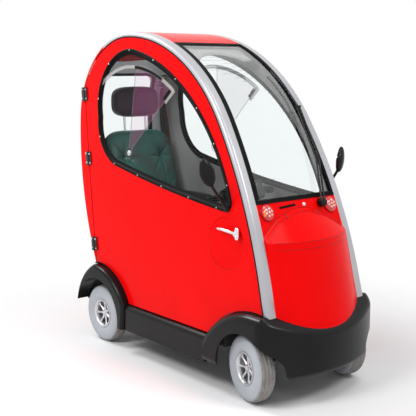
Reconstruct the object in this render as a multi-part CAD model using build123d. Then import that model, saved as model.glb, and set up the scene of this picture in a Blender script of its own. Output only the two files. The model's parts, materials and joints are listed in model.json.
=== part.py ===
from build123d import *
import os
from math import asin, atan2, cos, degrees, radians, sin, sqrt, tan

os.makedirs("parts", exist_ok=True)

# Enclosed four-wheel mobility scooter with a hard cabin and two side doors.
# Millimetres. X runs forward, Y to the rider's left, Z up. The floor is Z 0.

# Whole vehicle
wheelbase = 1157.0
front_overhang = 229.0
rear_overhang = 254.0
height = 1640.0

# Wheels and steering
wheel_diameter = 305.0
tyre_width = 84.0
wheel_outer_y = 330.0
rim_radius = 74.6
rim_bore = 62.0
spoke_count = 7
kingpin_y = 238.0
arm_length = 60.0
rest_steer = -12.8
shaft_radius = 10.0
pin_radius = 8.0
ball_radius = 5.0
eye_radius = 9.0
running_gap = 0.2

# Cabin outline
crown_radius = 434.0
brow_radius = 897.0
brow_turn = 33.4
screen_radius = 2319.0
front_lean = 13.9
back_radius = 1870.0
foot_z = 402.0
waist = 296.0
waist_z = 950.0
taper = 0.0427
bulge = 8.0
wall = 25.0
edge_round = 18.0
inner_round = 15.0

# Seams on the cabin
arch_side = 22.0
arch_top = 50.0
seam = 6.0
roof_joint = 321.0
arch_tail = 214.0
screen_base_z = 872.0
seal_width = 17.0
seal_proud = 2.0
glass_thick = 5.0
panel_base_z = 405.0

# Doors
sill_top = 250.0
hinge_low_z = 524.0
hinge_mid_z = 980.0
hinge_high_z = 1322.0
hinge_setback = 78.0
hinge_lean = -0.151
hinge_standoff = 9.0
gasket_width = 16.0
belt_z = 829.0
dish_radius = 118.0
dish_depth = 13.0
handle_z = 690.0
handle_setback = 204.0

# Circles that the lower door corners and the mudguards share: lead over the axle, drop below it, radius
front_guard_lead, front_guard_drop, front_guard_radius = 40.0, 118.5, 377.0
rear_guard_lead, rear_guard_drop, rear_guard_radius = -34.0, 42.5, 312.0
guard_crest = 88.0

# Black lower body
bumper_low = 130.0
skirt_low = 120.0
skirt_y = 362.0
skirt_wall = 16.0
sill_y = 345.0
nose_curve = 680.0
nose_corner = 85.0
brow_fall = 0.72
top_round = 38.0
low_round = 30.0
steer_gap = 16.5
rear_opening = 198.0
tail_low = 200.0

# Floor and frame
floor_z = 200.0
sheet = 12.0
floor_y = 286.0
well_y = 155.0
well_top = 330.0
deck_z = 345.0
toe_step = 3.0
rail_y = 110.0
rail_size = 35.0
bar_width = 40.0

# Seat and tiller
seat_z = 500.0
seat_depth = 428.0
back_gap = 12.0
back_thick = 66.0
back_lean = 0.26
seat_clearance = 41.0
armrest_gap = 7.0
armrest_z = 735.0
cushion_thick = 110.0
back_top = 1125.0
tiller_setback = 121.0
tiller_reach = 280.0
bar_z = 860.0
bar_half = 225.0

length = front_overhang + wheelbase + rear_overhang
nose_x = length / 2
front_axle_x = nose_x - front_overhang
axle_z = wheel_diameter / 2
rear_axle_x = front_axle_x - wheelbase
wheel_y = wheel_outer_y - tyre_width / 2
lean = radians(front_lean)
rear_radius = crown_radius
apex_x = crown_radius - length / 2
brow_z0 = height - brow_radius
screen_x = apex_x - (screen_radius - brow_radius) * cos(radians(brow_turn))
screen_z = brow_z0 - (screen_radius - brow_radius) * sin(radians(brow_turn))
knee_x = screen_x + screen_radius * cos(lean)
knee_z = screen_z + screen_radius * sin(lean)
foot_x = knee_x + (knee_z - foot_z) * tan(lean)
rear_z = height - rear_radius
back_x = apex_x - rear_radius + back_radius
roof_joint_x = apex_x + roof_joint
arch_rear_x = apex_x - arch_tail
hinge_line_x = rear_axle_x - hinge_setback
seat_low_x = back_x - sqrt(back_radius ** 2 - (rear_z - seat_z) ** 2)
seat_rear_x = seat_low_x + wall + back_gap + back_thick
seat_front_x = seat_rear_x + seat_depth
deck_front_x = seat_front_x - 50
well_x = front_axle_x - 186
front_guard = (front_axle_x + front_guard_lead, axle_z - front_guard_drop, front_guard_radius)
rear_guard = (rear_axle_x + rear_guard_lead, axle_z - rear_guard_drop, rear_guard_radius)
outline_low = 80.0
deep = 2 * length
X = (1, 0, 0)
Y = (0, 1, 0)
Z = (0, 0, 1)


def side(x, z):
    return (x, 0.0, z)


def cross(y, z):
    return (0.0, y, z)


def plan(x, y):
    return (x, y, 0.0)


def outline(place, start, *legs):
    """Flat closed face; a leg is an end point, or the middle and the end of an arc."""
    edges = []
    at = start
    for leg in legs:
        if isinstance(leg[0], tuple):
            middle, end = leg
            edges.append(Edge.make_three_point_arc(place(*at), place(*middle), place(*end)))
        else:
            end = leg
            edges.append(Edge.make_line(place(*at), place(*end)))
        at = end
    if at != start:
        edges.append(Edge.make_line(place(*at), place(*start)))
    return Face(Wire(edges))


def prism(face, along, start, end):
    """The face carried along a direction from one distance to another."""
    way = Vector(*along)
    if face.normal_at().dot(way) < 0:
        face = -face
    return extrude(face.moved(Location(way * start)), amount=end - start, dir=way)


def disc(x, z, radius):
    return outline(side, (x + radius, z), ((x, z + radius), (x - radius, z)), ((x, z - radius), (x + radius, z)))


def block(x, y, z):
    size = [b - a for a, b in (x, y, z)]
    middle = [(a + b) / 2 for a, b in (x, y, z)]
    return Pos(*middle) * Box(*size)


def rod(start, end, radius):
    way = Vector(*end) - Vector(*start)
    base = Plane(origin=start, z_dir=way)
    return base * Cylinder(radius, way.length, align=(Align.CENTER, Align.CENTER, Align.MIN))


def other_side(shape):
    return mirror(shape, about=Plane.XZ)


def both(shape):
    return shape + other_side(shape)


def on_guard(guard, angle):
    """Point of a mudguard circle at an angle above the forward direction."""
    x, z, radius = guard
    return (x + radius * cos(radians(angle)), z + radius * sin(radians(angle)))


def guard_x(guard, z, way):
    """Where a mudguard circle crosses a height, ahead of its centre or behind it."""
    return guard[0] + way * sqrt(guard[2] ** 2 - (z - guard[1]) ** 2)


def roof_point(angle, inset):
    """Point inside the roof's front arc, or the flatter screen arc below it, by its angle above forward."""
    if angle < brow_turn:
        middle_x, middle_z, reach = screen_x, screen_z, screen_radius - inset
    else:
        middle_x, middle_z, reach = apex_x, brow_z0, brow_radius - inset
    return (middle_x + reach * cos(radians(angle)), middle_z + reach * sin(radians(angle)))


def crown_point(angle, inset):
    """Point inside the rear arc of the roof at an angle above the forward direction."""
    reach = rear_radius - inset
    return (apex_x + reach * cos(radians(angle)), rear_z + reach * sin(radians(angle)))


def half_width(z):
    rise = z - waist_z
    return waist - taper * rise - bulge * (rise / 750) ** 2


def front_x(z):
    """Front wall at a height: straight up to the knee, then the screen's arc."""
    if z < knee_z:
        return knee_x + (knee_z - z) * tan(lean)
    return screen_x + sqrt(screen_radius ** 2 - (z - screen_z) ** 2)


def tail_x(z):
    return back_x - sqrt(back_radius ** 2 - (rear_z - z) ** 2)


def hinge_x(z):
    return hinge_line_x + hinge_lean * (z - hinge_low_z)


def side_face(inset, low):
    """Cabin outline seen from the side, shrunk by an inset and cut off at a height."""
    rear = rear_radius - inset
    back = back_radius - inset
    knee = (screen_x + (screen_radius - inset) * cos(lean), screen_z + (screen_radius - inset) * sin(lean))
    foot = (knee[0] + (knee[1] - low) * tan(lean), low)
    pane = roof_point((front_lean + brow_turn) / 2, inset)
    joint = roof_point(brow_turn, inset)
    brow = roof_point((brow_turn + 90) / 2, inset)
    top = (apex_x, height - inset)
    crown = (apex_x - rear * cos(radians(45)), rear_z + rear * sin(radians(45)))
    hip = (apex_x - rear, rear_z)
    middle = (rear_z + low) / 2
    small = (back_x - sqrt(back ** 2 - (rear_z - middle) ** 2), middle)
    heel = (back_x - sqrt(back ** 2 - (rear_z - low) ** 2), low)
    return outline(side, foot, knee, (pane, joint), (brow, top), (crown, hip), (small, heel))


def cross_face(inset):
    """Cabin cross-section seen from the front, shrunk by an inset."""
    low, high = 100.0, height + 160
    right = [(inset - half_width(z), z) for z in (low, waist_z, high)]
    left = [(-y, z) for y, z in right]
    return outline(cross, right[0], (right[1], right[2]), left[2], (left[1], left[0]))


def side_strip(proud, depth):
    """Skin of the right flank, from a distance outside the surface to a depth inside it."""
    low, high = 150.0, height + 60
    outer = [(-half_width(z) - proud, z) for z in (low, waist_z, high)]
    inner = [(-half_width(z) + depth, z) for z in (high, waist_z, low)]
    face = outline(cross, outer[0], (outer[1], outer[2]), inner[0], (inner[1], inner[2]))
    return prism(face, X, -length, length)


def hull(inset, low):
    """The side outline carried across the vehicle, above a height."""
    whole = prism(side_face(inset, outline_low), Y, -deep, deep)
    return whole & block((-deep, deep), (-2 * deep, 2 * deep), (low, 2 * height))


def core(inset, start=-deep, end=deep):
    return prism(cross_face(inset), X, start, end)


def loaf(inset, corner, low):
    """The whole cabin as a solid with rounded long edges."""
    solid = hull(inset, low) & core(inset)
    edges = [e for e in solid.edges() if abs(e.center().Y) > 100 and e.center().Z > low + 5]
    return fillet(edges, corner)


def skin(proud, depth, low):
    """Skin of the front, roof and tail without the flanks."""
    return hull(-proud, low) - hull(depth, low - 50)


right_half = block((-deep, deep), (-deep, 0), (-deep, deep))
cabin = loaf(0, edge_round, 200)
shell = cabin - loaf(wall, inner_round, 150)

# Front bumper with the front mudguards in one moulding
sill_front_x = guard_x(front_guard, sill_top, -1)
sill_rear_x = guard_x(rear_guard, sill_top, 1)
brow_back = 300.0


def brow_z(x):
    return foot_z - brow_fall * (x - foot_x)


def brow_face(inset):
    """What lies under the top of the nose, which falls forward from the foot of the front wall."""
    high = brow_z(foot_x - brow_back) - inset
    tip = nose_x + 50
    return outline(side, (0, -50), (0, high), (foot_x - brow_back, high), (tip, brow_z(tip) - inset), (tip, -50))


def guard_face(inset):
    """What lies under the front mudguards."""
    x, z, radius = front_guard
    shrunk = (x, z, radius - inset)
    heel_x = sill_front_x + inset
    heel_z = z + sqrt(shrunk[2] ** 2 - (heel_x - x) ** 2)
    middle = (degrees(atan2(heel_z - z, heel_x - x)) + guard_crest) / 2
    crest = on_guard(shrunk, guard_crest)
    return outline(side, (heel_x, -50), (heel_x, heel_z), (on_guard(shrunk, middle), crest),
                   (nose_x + 60, crest[1]), (nose_x + 60, -50))


def nose_plan(inset):
    """The nose from above: one wide arc with a tight arc at each corner."""
    centre_x = nose_x - nose_curve
    corner_y = skirt_y - nose_corner
    corner_x = centre_x + sqrt((nose_curve - nose_corner) ** 2 - corner_y ** 2)
    turn = atan2(corner_y, corner_x - centre_x)
    half_turn = (turn + radians(90)) / 2
    wide, tight = nose_curve - inset, nose_corner - inset
    shoulder = (centre_x + wide * cos(turn), wide * sin(turn))
    cheek = (corner_x + tight * cos(half_turn), corner_y + tight * sin(half_turn))
    flank = (corner_x, skirt_y - inset)
    left = [flank, cheek, shoulder]
    right = [(x, -y) for x, y in left]
    return outline(plan, (0, right[0][1]), right[0], (right[1], right[2]), ((nose_x - inset, 0), left[2]),
                   (left[1], left[0]), (0, left[0][1]))


def on_brow(edge):
    return all(abs(v.Z - brow_z(v.X)) < 0.5 for v in edge.vertices()) and edge.center().X > foot_x - brow_back + 20


under_nose = prism(guard_face(0), Y, -500, 500) & prism(brow_face(0), Y, -500, 500)
nose_block = prism(nose_plan(0), Z, bumper_low, 700) & prism(brow_face(0), Y, -500, 500)
nose_block = fillet([e for e in nose_block.edges() if on_brow(e)], top_round)
nose_foot = [e for e in nose_block.edges() if abs(e.center().Z - bumper_low) < 0.1 and e.center().X > 10]
nose_block = fillet(nose_foot, low_round)
guard_block = prism(guard_face(0), Y, -skirt_y, skirt_y)
guard_edges = [e for e in guard_block.edges()
               if abs(e.center().Y) > skirt_y - 1 and e.center().Z > sill_top and e.length > 40]
guard_block = fillet(guard_edges, top_round)
nose_hole = prism(nose_plan(skirt_wall), Z, -50, 700) & prism(brow_face(skirt_wall), Y, -500, 500)
nose_hole = nose_hole & prism(guard_face(skirt_wall), Y, -500, 500)
tyre_swing = sqrt(axle_z ** 2 + (wheel_outer_y - kingpin_y - 20) ** 2)
steer_hole = Pos(front_axle_x - 6, wheel_y - 8, axle_z) * Sphere(tyre_swing + steer_gap)

# Red front panel, swept along the lean of the front wall
panel_bulge = 78.0
panel_y = 256.0


def panel_solid(thin, top_z, drop):
    foot_x = front_x(0) - (120 if thin == 0 else 220)
    arc_x = front_x(0) - thin
    reach = panel_y + 60
    edge_x = arc_x + panel_bulge * (1 - (reach / panel_y) ** 2)
    face = outline(
        plan, (foot_x, -reach), (edge_x, -reach), ((arc_x + panel_bulge, 0), (edge_x, reach)),
        (foot_x, reach))
    if face.normal_at().Z < 0:
        face = -face
    tall = extrude(face, amount=1000 / cos(lean), dir=(-sin(lean), 0, cos(lean)))
    crest = 520.0
    brow = outline(
        cross, (-320, 200), (-320, top_z - crest + sqrt(crest ** 2 - 320 ** 2)),
        ((0, top_z), (320, top_z - crest + sqrt(crest ** 2 - 320 ** 2))), (320, 200))
    start = Vector(front_x(838), 0, 0)
    fall = Vector(1, 0, -0.95).normalized()
    if brow.normal_at().dot(fall) < 0:
        brow = -brow
    roof = extrude(brow.moved(Location(start - fall * 300)), amount=700, dir=fall)
    return tall & roof.moved(Location((0, 0, -drop)))


panel_outer = panel_solid(0, 838, 0)
panel_inner = panel_solid(11, 838, 15)
bonnet = ((panel_outer - panel_inner) & core(arch_top)) - hull(0, 100)
bonnet = bonnet - under_nose - block((0, deep), (-500, 500), (0, 300))

bumper_front = (nose_block & guard_block) - nose_hole - both(steer_hole) - cabin
bumper_front = bumper_front - block((sill_front_x - 20, well_x + 10), (-floor_y - 2, floor_y + 2), (0, 300))

# Cabin panels
arch_right = shell & right_half & block((arch_rear_x, deep), (-deep, 0), (300, deep))
arch_right = arch_right - core(arch_top) - hull(arch_side, 100) - under_nose
arch_right = arch_right - block((-deep, 0), (-deep, 0), (0, 900))

roof_panel = skin(0, wall, 1000) & core(arch_top, arch_rear_x, roof_joint_x)


def screen_zone(inset):
    high = block((-deep, deep), (-deep, deep), (screen_base_z + inset, deep))
    return core(arch_top + inset, roof_joint_x + inset, deep) & high


windscreen_seal = (screen_zone(0) - screen_zone(seal_width)) & skin(seal_proud, 14, 700)
windscreen = screen_zone(seal_width + 0.3) & skin(-3, 3 + glass_thick, 700)

lamp_y, lamp_z, lamp_radius = 200.0, 833.0, 35.0
lamp_tilt = asin((lamp_z - screen_z) / screen_radius)
lamp_out = Vector(cos(lamp_tilt), 0, sin(lamp_tilt))
lamp_base = Vector(front_x(lamp_z), lamp_y, lamp_z)
lamp_hole = rod(lamp_base - lamp_out * 60, lamp_base + lamp_out * 20, lamp_radius + 0.4)
front_cowl = skin(0, wall, 318) & core(arch_top, 300, deep)
front_cowl = front_cowl & block((-deep, deep), (-deep, deep), (318, screen_base_z))
front_cowl = front_cowl - both(lamp_hole)

lamp_rim, lamp_crown = 10.0, 11.0
lamp_ball = (lamp_radius ** 2 + lamp_crown ** 2) / (2 * lamp_crown)
lamp_mid = lamp_rim + lamp_crown - lamp_ball + sqrt(lamp_ball ** 2 - (lamp_radius / 2) ** 2)
lamp_face = outline(side, (0, -22), (lamp_radius, -22), (lamp_radius, lamp_rim),
                    ((lamp_radius / 2, lamp_mid), (0, lamp_rim + lamp_crown)))
lamp_lens = Plane(origin=lamp_base, z_dir=lamp_out) * revolve(lamp_face, Axis.Z, 360)
headlamps = both(lamp_lens)


# Door opening on the right flank; a wider gap makes a smaller door
def door_zone(gap):
    shift = gap - seam / 2
    zone = prism(side_face(arch_side + gap, sill_top + gap), Y, -500, -100)
    ahead = outline(side, (hinge_x(100) + shift, 100), (1000, 100), (1000, 1700), (hinge_x(1700) + shift, 1700))
    zone = zone & prism(ahead, Y, -500, -100)
    for x, z, radius in (front_guard, rear_guard):
        zone = zone - prism(disc(x, z, radius + gap), Y, -500, -100)
    return zone


def window_prism(inset):
    """The side window's outline, shrunk by an inset and carried through the right flank."""
    drop = rear_z - belt_z
    corner = (front_x(belt_z + 51) - 98, belt_z + 51)
    toe = (front_x(belt_z) - 173, belt_z)
    hip = (hinge_x(rear_z) + 119, rear_z)
    haunch = (hinge_x(belt_z + 0.61 * drop) + 135, belt_z + 0.61 * drop)
    heel = (hinge_x(belt_z + 0.36 * drop) + 241, belt_z + 0.36 * drop)
    belt = ((heel[0] + toe[0]) / 2, belt_z + 0.145 * drop)
    face = outline(
        side, corner, (roof_point(51.4, 105), roof_point(86.3, 83)), (crown_point(127, 122), hip),
        (haunch, heel), (belt, toe), ((toe[0] + 45, belt_z + 17), corner))
    if inset > 0:
        face = offset(face, amount=-inset).faces()[0]
    return prism(face, Y, -500, -100)


window_hole = window_prism(0)
handle_x, handle_y = front_x(handle_z) - handle_setback, -half_width(handle_z)
dish_way = Vector(0.055, -1, 0.045).normalized()
dish_at = Vector(handle_x, handle_y, handle_z) - dish_way * dish_depth / 2
dish = rod(dish_at, dish_at + dish_way * 60, dish_radius)

door_right = side_strip(0, wall) & door_zone(seam)
door_right = door_right - window_hole - dish
door_left = other_side(door_right)
window_seal_right = (window_prism(0.3) - window_prism(gasket_width)) & side_strip(3, wall - 3)
window_seal_left = other_side(window_seal_right)
window_right = window_prism(gasket_width + 0.3) & side_strip(-8, 8 + glass_thick)
window_left = other_side(window_right)

# Lever handle over the dish
lever_y = -half_width(handle_z + 60) - 10
pivot_x, pivot_z = handle_x + 70, handle_z + 52
lever_tip = (handle_x - 52, lever_y, handle_z + 62)
lever_boss = rod((pivot_x, lever_y + 24, pivot_z), (pivot_x, lever_y - 4, pivot_z), 15)
lever_arm = rod((pivot_x, lever_y, pivot_z), lever_tip, 9)
handle_right = lever_boss + lever_arm + Pos(*lever_tip) * Sphere(9)
handle_seat = side_strip(0, wall + 20) & prism(disc(pivot_x, pivot_z, 60), Y, -500, -100)
handle_right = handle_right - (handle_seat - dish)
handle_left = other_side(handle_right)

# Door mirrors: a pad on the gasket's front corner, a bent stalk and an oval head, crowned ahead and flat behind
mirror_z = belt_z + 20
pad_radius = 17.0
mirror_foot = Vector(front_x(mirror_z) - 138, -half_width(mirror_z - pad_radius) - 3.3, mirror_z)
mirror_knee = mirror_foot + Vector(3, -38, 40)
mirror_neck = mirror_foot + Vector(10, -104, 112)
mirror_middle = mirror_foot + Vector(8, -122, 168)
head_half, head_round, head_thick, head_crown = 64.0, 34.0, 36.0, 20.0
foot_pad = rod(tuple(mirror_foot), tuple(mirror_foot + Vector(0, -12, 0)), pad_radius)
stalk = rod(tuple(mirror_foot + Vector(0, -8, 0)), tuple(mirror_knee), 7) + Pos(*mirror_knee) * Sphere(7)
stalk = stalk + rod(tuple(mirror_knee), tuple(mirror_neck), 7)
oval = outline(
    cross, (-head_round, head_round - head_half), (-head_round, head_half - head_round),
    ((0, head_half), (head_round, head_half - head_round)), (head_round, head_round - head_half),
    ((0, -head_half), (-head_round, head_round - head_half)))
head_case = prism(oval, X, -head_thick / 2, head_thick / 2)
head_case = fillet([e for e in head_case.edges() if e.center().X > head_thick / 2 - 1], head_crown)
head_case = Pos(*mirror_middle) * Rot(0, 0, -22) * Rot(18, 0, 0) * head_case
mirror_right = foot_pad + stalk + head_case
mirror_left = other_side(mirror_right)

# Door hinges on a leaning axis
hinge_places = [hinge_low_z, hinge_mid_z, hinge_high_z]
axis_low = Vector(hinge_x(hinge_low_z), -half_width(hinge_low_z) - hinge_standoff, hinge_low_z)
axis_high = Vector(hinge_x(hinge_high_z), -half_width(hinge_high_z) - hinge_standoff, hinge_high_z)
hinge_way = (axis_high - axis_low).normalized()
leaf_reach, leaf_half, barrel = 24.0, 36.0, 7.0
hinge_pads = []
hinge_leaves = []
for z in hinge_places:
    share = (z - hinge_low_z) / (hinge_high_z - hinge_low_z)
    spot = axis_low + (axis_high - axis_low) * share
    frame = Plane(origin=spot, x_dir=Vector(1, 0, -hinge_way.X / hinge_way.Z), z_dir=hinge_way)
    close = -spot.Y - half_width(z) - 2.3
    pad = block((-leaf_reach, 0), (1, close), (-leaf_half, leaf_half)) + Cylinder(barrel, 2 * leaf_half)
    pad = pad - block((-9, 9), (-9, 20), (-8, 8)) + Cylinder(3.5, 2 * leaf_half)
    leaf = block((0, leaf_reach), (1, close), (-leaf_half, leaf_half)) - block((-9, 9), (-9, 20), (-40, 40))
    leaf = leaf + block((0, 10), (1, close), (-7.5, 7.5)) + Cylinder(barrel, 15)
    leaf = leaf - Cylinder(3.5 + running_gap, 60)
    hinge_pads.append(frame * pad)
    hinge_leaves.append(frame * leaf)
hinge_brackets = hinge_pads[0] + hinge_pads[1] + hinge_pads[2]
hinge_leaves_right = hinge_leaves[0] + hinge_leaves[1] + hinge_leaves[2]
hinge_leaves_left = other_side(hinge_leaves_right)

# Tail panel, rear window and tail lamps
fender_face = outline(
    side, (sill_rear_x - 8, skirt_low), (sill_rear_x, sill_top),
    (on_guard(rear_guard, 58), on_guard(rear_guard, 90)),
    ((rear_axle_x - 169, tail_low + 100), (rear_axle_x - 205, tail_low)), (rear_axle_x - 174, tail_low),
    (rear_axle_x - 174, skirt_low))
rear_glass_low, rear_glass_high, rear_glass_y = rear_z - 183, rear_z + 227, 190.0


def rear_opening_prism(inset):
    tall = rear_glass_high - rear_glass_low - 2 * inset
    wide = 2 * (rear_glass_y - inset)
    middle = (rear_glass_low + rear_glass_high) / 2
    shape = Pos(apex_x - rear_radius, 0, middle) * Box(500, wide, tall)
    return fillet([e for e in shape.edges() if abs(e.tangent_at(0.5).X) > 0.9], 50)


tail_y, tail_z, tail_radius = 215.0, 560.0, 36.0
tail_lamp = rod((tail_x(tail_z) - 14, tail_y, tail_z), (tail_x(tail_z) + 20, tail_y, tail_z), tail_radius)
tail_hole = rod((tail_x(tail_z) - 90, tail_y, tail_z), (tail_x(tail_z) + 90, tail_y, tail_z), tail_radius + 0.4)
door_gap = door_zone(0)
rear_panel = shell & block((-deep, arch_rear_x), (-deep, deep), (panel_base_z, deep))
rear_panel = rear_panel - door_gap - other_side(door_gap) - prism(fender_face, Y, -500, 500)
rear_panel = rear_panel - prism(disc(*rear_guard), Y, -500, 500)
rear_panel = rear_panel - rear_opening_prism(0) - both(tail_hole)
rear_window_seal = (rear_opening_prism(0.3) - rear_opening_prism(gasket_width)) & skin(0, wall - 3, 700)
rear_window = rear_opening_prism(gasket_width + 0.3) & skin(-8, 8 + glass_thick, 700)
tail_lamps = both(tail_lamp)

# Sills, rear mudguards and rear bumper
sill_face = outline(
    cross, (-sill_y, skirt_low), (-sill_y, sill_top - 24), ((-sill_y + 8, sill_top - 7), (-sill_y + 26, sill_top)),
    (-floor_y - 0.3, sill_top), (-floor_y - 0.3, sill_top - 10), (-sill_y + 30, sill_top - 10),
    ((-sill_y + 14, sill_top - 14), (-sill_y + 10, sill_top - 28)), (-sill_y + 10, skirt_low + 10),
    (-floor_y - 0.3, skirt_low + 10), (-floor_y - 0.3, skirt_low))
sill_right = prism(sill_face, X, sill_rear_x + 0.3, sill_front_x - 0.3)

fender_solid = prism(fender_face, Y, -skirt_y, -floor_y - 1)
outer_edges = [e for e in fender_solid.edges()
               if e.center().Y < -skirt_y + 1 and e.center().Z > 180 and e.length > 60]
fender_solid = fillet(outer_edges, 20)
wheel_hole = prism(disc(rear_axle_x, axle_z, rear_opening), Y, -500, 0)
rear_fender = fender_solid - wheel_hole - cabin

tail_face = outline(
    side, (rear_axle_x + 66, tail_low - 10), (rear_axle_x + 66, panel_base_z + 15), on_guard(rear_guard, 90),
    ((rear_axle_x - 169, tail_low + 100), (rear_axle_x - 205, tail_low)), (rear_axle_x - 206, tail_low - 10))
bumper_rear = prism(tail_face, Y, -floor_y, floor_y)
bumper_rear = bumper_rear - prism(tail_face, Y, -500, 500).moved(Location((skirt_wall, 0, -skirt_wall)))
bumper_rear = (bumper_rear - cabin) & block((-deep, rear_axle_x - 34), (-deep, deep), (tail_low - 10, deep))

# Floor pan: flat floor, narrow toe box between the front wheels, raised deck over the rear wheels
rear_wall_x = rear_axle_x - 74
toe_x = front_axle_x + 109
floor_pan = block((deck_front_x, well_x), (-floor_y, floor_y), (floor_z, floor_z + sheet))
floor_pan = floor_pan + block((well_x - sheet, toe_x), (-well_y, well_y), (floor_z, floor_z + sheet - toe_step))
floor_pan = floor_pan + block((toe_x - sheet, toe_x), (-well_y, well_y), (floor_z, well_top))
well_side = block((well_x - sheet, toe_x), (-well_y, -well_y + sheet), (floor_z, well_top))
well_front = block((well_x - sheet, well_x), (-floor_y, -well_y), (floor_z, well_top))
well_roof = block((well_x - sheet, toe_x), (-floor_y + 20, -well_y + sheet), (well_top - sheet, well_top))
rear_liner = block((rear_axle_x - 186, deck_front_x), (-222, -222 + sheet), (floor_z, deck_z + sheet))
floor_pan = floor_pan + both(well_side + well_front + well_roof + rear_liner)
floor_pan = floor_pan + block((deck_front_x, deck_front_x + sheet), (-floor_y, floor_y), (floor_z, deck_z + sheet))
floor_pan = floor_pan + block((rear_wall_x, deck_front_x), (-floor_y, floor_y), (deck_z, deck_z + sheet))
floor_pan = floor_pan & (hull(wall + 1, 100) & core(wall + 1))

# Ladder frame under the floor, stepping up over the rear axle
rail_in, rail_out = rail_y - rail_size / 2, rail_y + rail_size / 2
frame_nose, frame_tail = front_axle_x + 49, rear_axle_x - 44
rail = block((deck_front_x - rail_size, frame_nose), (-rail_out, -rail_in), (floor_z - rail_size, floor_z))
rail = rail + block((deck_front_x - rail_size, deck_front_x), (-rail_out, -rail_in), (floor_z - rail_size, deck_z))
rail = rail + block((frame_tail, deck_front_x), (-rail_out, -rail_in), (deck_z - rail_size, deck_z))
chassis_frame = both(rail)
cross_bars = [
    # rear edge, top, depth
    (rear_axle_x - 24, deck_z - 5, rail_size - 10),
    (rear_axle_x + 166, deck_z - 5, rail_size - 10),
    (deck_front_x + 60, floor_z - 5, rail_size),
    (front_axle_x - 411, floor_z - 5, rail_size),
    (front_axle_x - 171, floor_z - 5, rail_size - 10),
]
for x, top, depth in cross_bars:
    chassis_frame = chassis_frame + block((x, x + bar_width), (-rail_in, rail_in), (top - depth, top))

# Front axle beam with a fork and a kingpin at each end
beam_top = floor_z - rail_size
fork_half = 42.0
front_axle_beam = block((front_axle_x - 18, front_axle_x + 18), (-kingpin_y + 22, kingpin_y - 22),
                        (beam_top - 28, beam_top))
cheek = block((front_axle_x - 14, front_axle_x + 14), (-kingpin_y + 20, -kingpin_y + 30),
              (axle_z - fork_half, axle_z + fork_half))
for level in (-fork_half, fork_half - 8):
    cheek = cheek + block((front_axle_x - 14, front_axle_x + 14), (-kingpin_y - 12, -kingpin_y + 30),
                          (axle_z + level, axle_z + level + 8))
kingpin = rod((front_axle_x, -kingpin_y, axle_z - fork_half), (front_axle_x, -kingpin_y, axle_z + fork_half), pin_radius)
front_axle_beam = front_axle_beam + both(cheek + kingpin)


def turned(shape, y):
    return shape.rotate(Axis((front_axle_x, y, 0), Z), rest_steer)


# Knuckles with stub axle and steering arm, drawn straight ahead and then turned
arm_z = axle_z - 24
hub_in = wheel_y - 10
knuckle = rod((front_axle_x, -kingpin_y, axle_z - 28), (front_axle_x, -kingpin_y, axle_z + 28), 14)
knuckle = knuckle + rod((front_axle_x, -kingpin_y, axle_z), (front_axle_x, -wheel_y - 20, axle_z), shaft_radius)
knuckle = knuckle + rod((front_axle_x, -kingpin_y, axle_z), (front_axle_x, -hub_in + 6, axle_z), 15)
arm_tip = (front_axle_x - arm_length, -kingpin_y, arm_z)
knuckle = knuckle + rod((front_axle_x - 8, -kingpin_y, arm_z), arm_tip, ball_radius)
knuckle = knuckle + rod((arm_tip[0], arm_tip[1], arm_z - 20), (arm_tip[0], arm_tip[1], arm_z + 5), ball_radius)
knuckle = knuckle - rod((front_axle_x, -kingpin_y, axle_z - 60), (front_axle_x, -kingpin_y, axle_z + 60),
                        pin_radius + running_gap)
knuckle_right = turned(knuckle, -kingpin_y)
knuckle_left = turned(other_side(knuckle), kingpin_y)

# Tie rod between the two arm tips, under the arms
rod_z = arm_z - 14
tip_x = front_axle_x - arm_length * cos(radians(rest_steer))
tip_y = arm_length * -sin(radians(rest_steer))
ends = [(tip_x, tip_y - kingpin_y), (tip_x, tip_y + kingpin_y)]
tie_rod = rod((tip_x, ends[0][1] + 7, rod_z), (tip_x, ends[1][1] - 7, rod_z), 4.5)
for x, y in ends:
    tie_rod = tie_rod + rod((x, y, rod_z - 5), (x, y, rod_z + 5), eye_radius)
for x, y in ends:
    tie_rod = tie_rod - rod((x, y, rod_z - 20), (x, y, rod_z + 20), ball_radius + running_gap)

# Wheels, drawn at the origin with the outer face to the right
radius = wheel_diameter / 2
half = tyre_width / 2
tyre_side = [
    # inset from the side, radius
    (8, rim_radius + 0.3),
    (2.5, rim_radius + 16),
    (0, radius - 38),
    (4, radius - 16),
    (12, radius - 5),
    (24, radius),
]
tyre_right = [(inset - half, reach) for inset, reach in tyre_side]
tyre_face = outline(cross, *tyre_right, *[(-y, reach) for y, reach in reversed(tyre_right)])
tyre = revolve(tyre_face, Axis.Y, 360)
rim_face = outline(
    cross, (-half + 5, rim_bore - 1), (-half + 4, rim_radius), (half - 6, rim_radius), (half - 6, rim_bore),
    (-half + 14, rim_bore))
rim = revolve(rim_face, Axis.Y, 360)
rim = rim + rod((0, -half + 12, 0), (0, 10, 0), 21)
for count in range(spoke_count):
    spoke = block((16, rim_bore + 2), (-half + 14, -half + 26), (-4.5, 4.5))
    rim = rim + spoke.rotate(Axis.Y, 360 * count / spoke_count)
rim = rim - rod((0, -21, 0), (0, 30, 0), shaft_radius + running_gap)


def at_front(shape, y):
    return turned(shape.moved(Location((front_axle_x, y, axle_z))), -kingpin_y if y < 0 else kingpin_y)


def at_rear(shape, y):
    return shape.moved(Location((rear_axle_x, y, axle_z)))


tyre_left, rim_left = other_side(tyre), other_side(rim)

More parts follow.
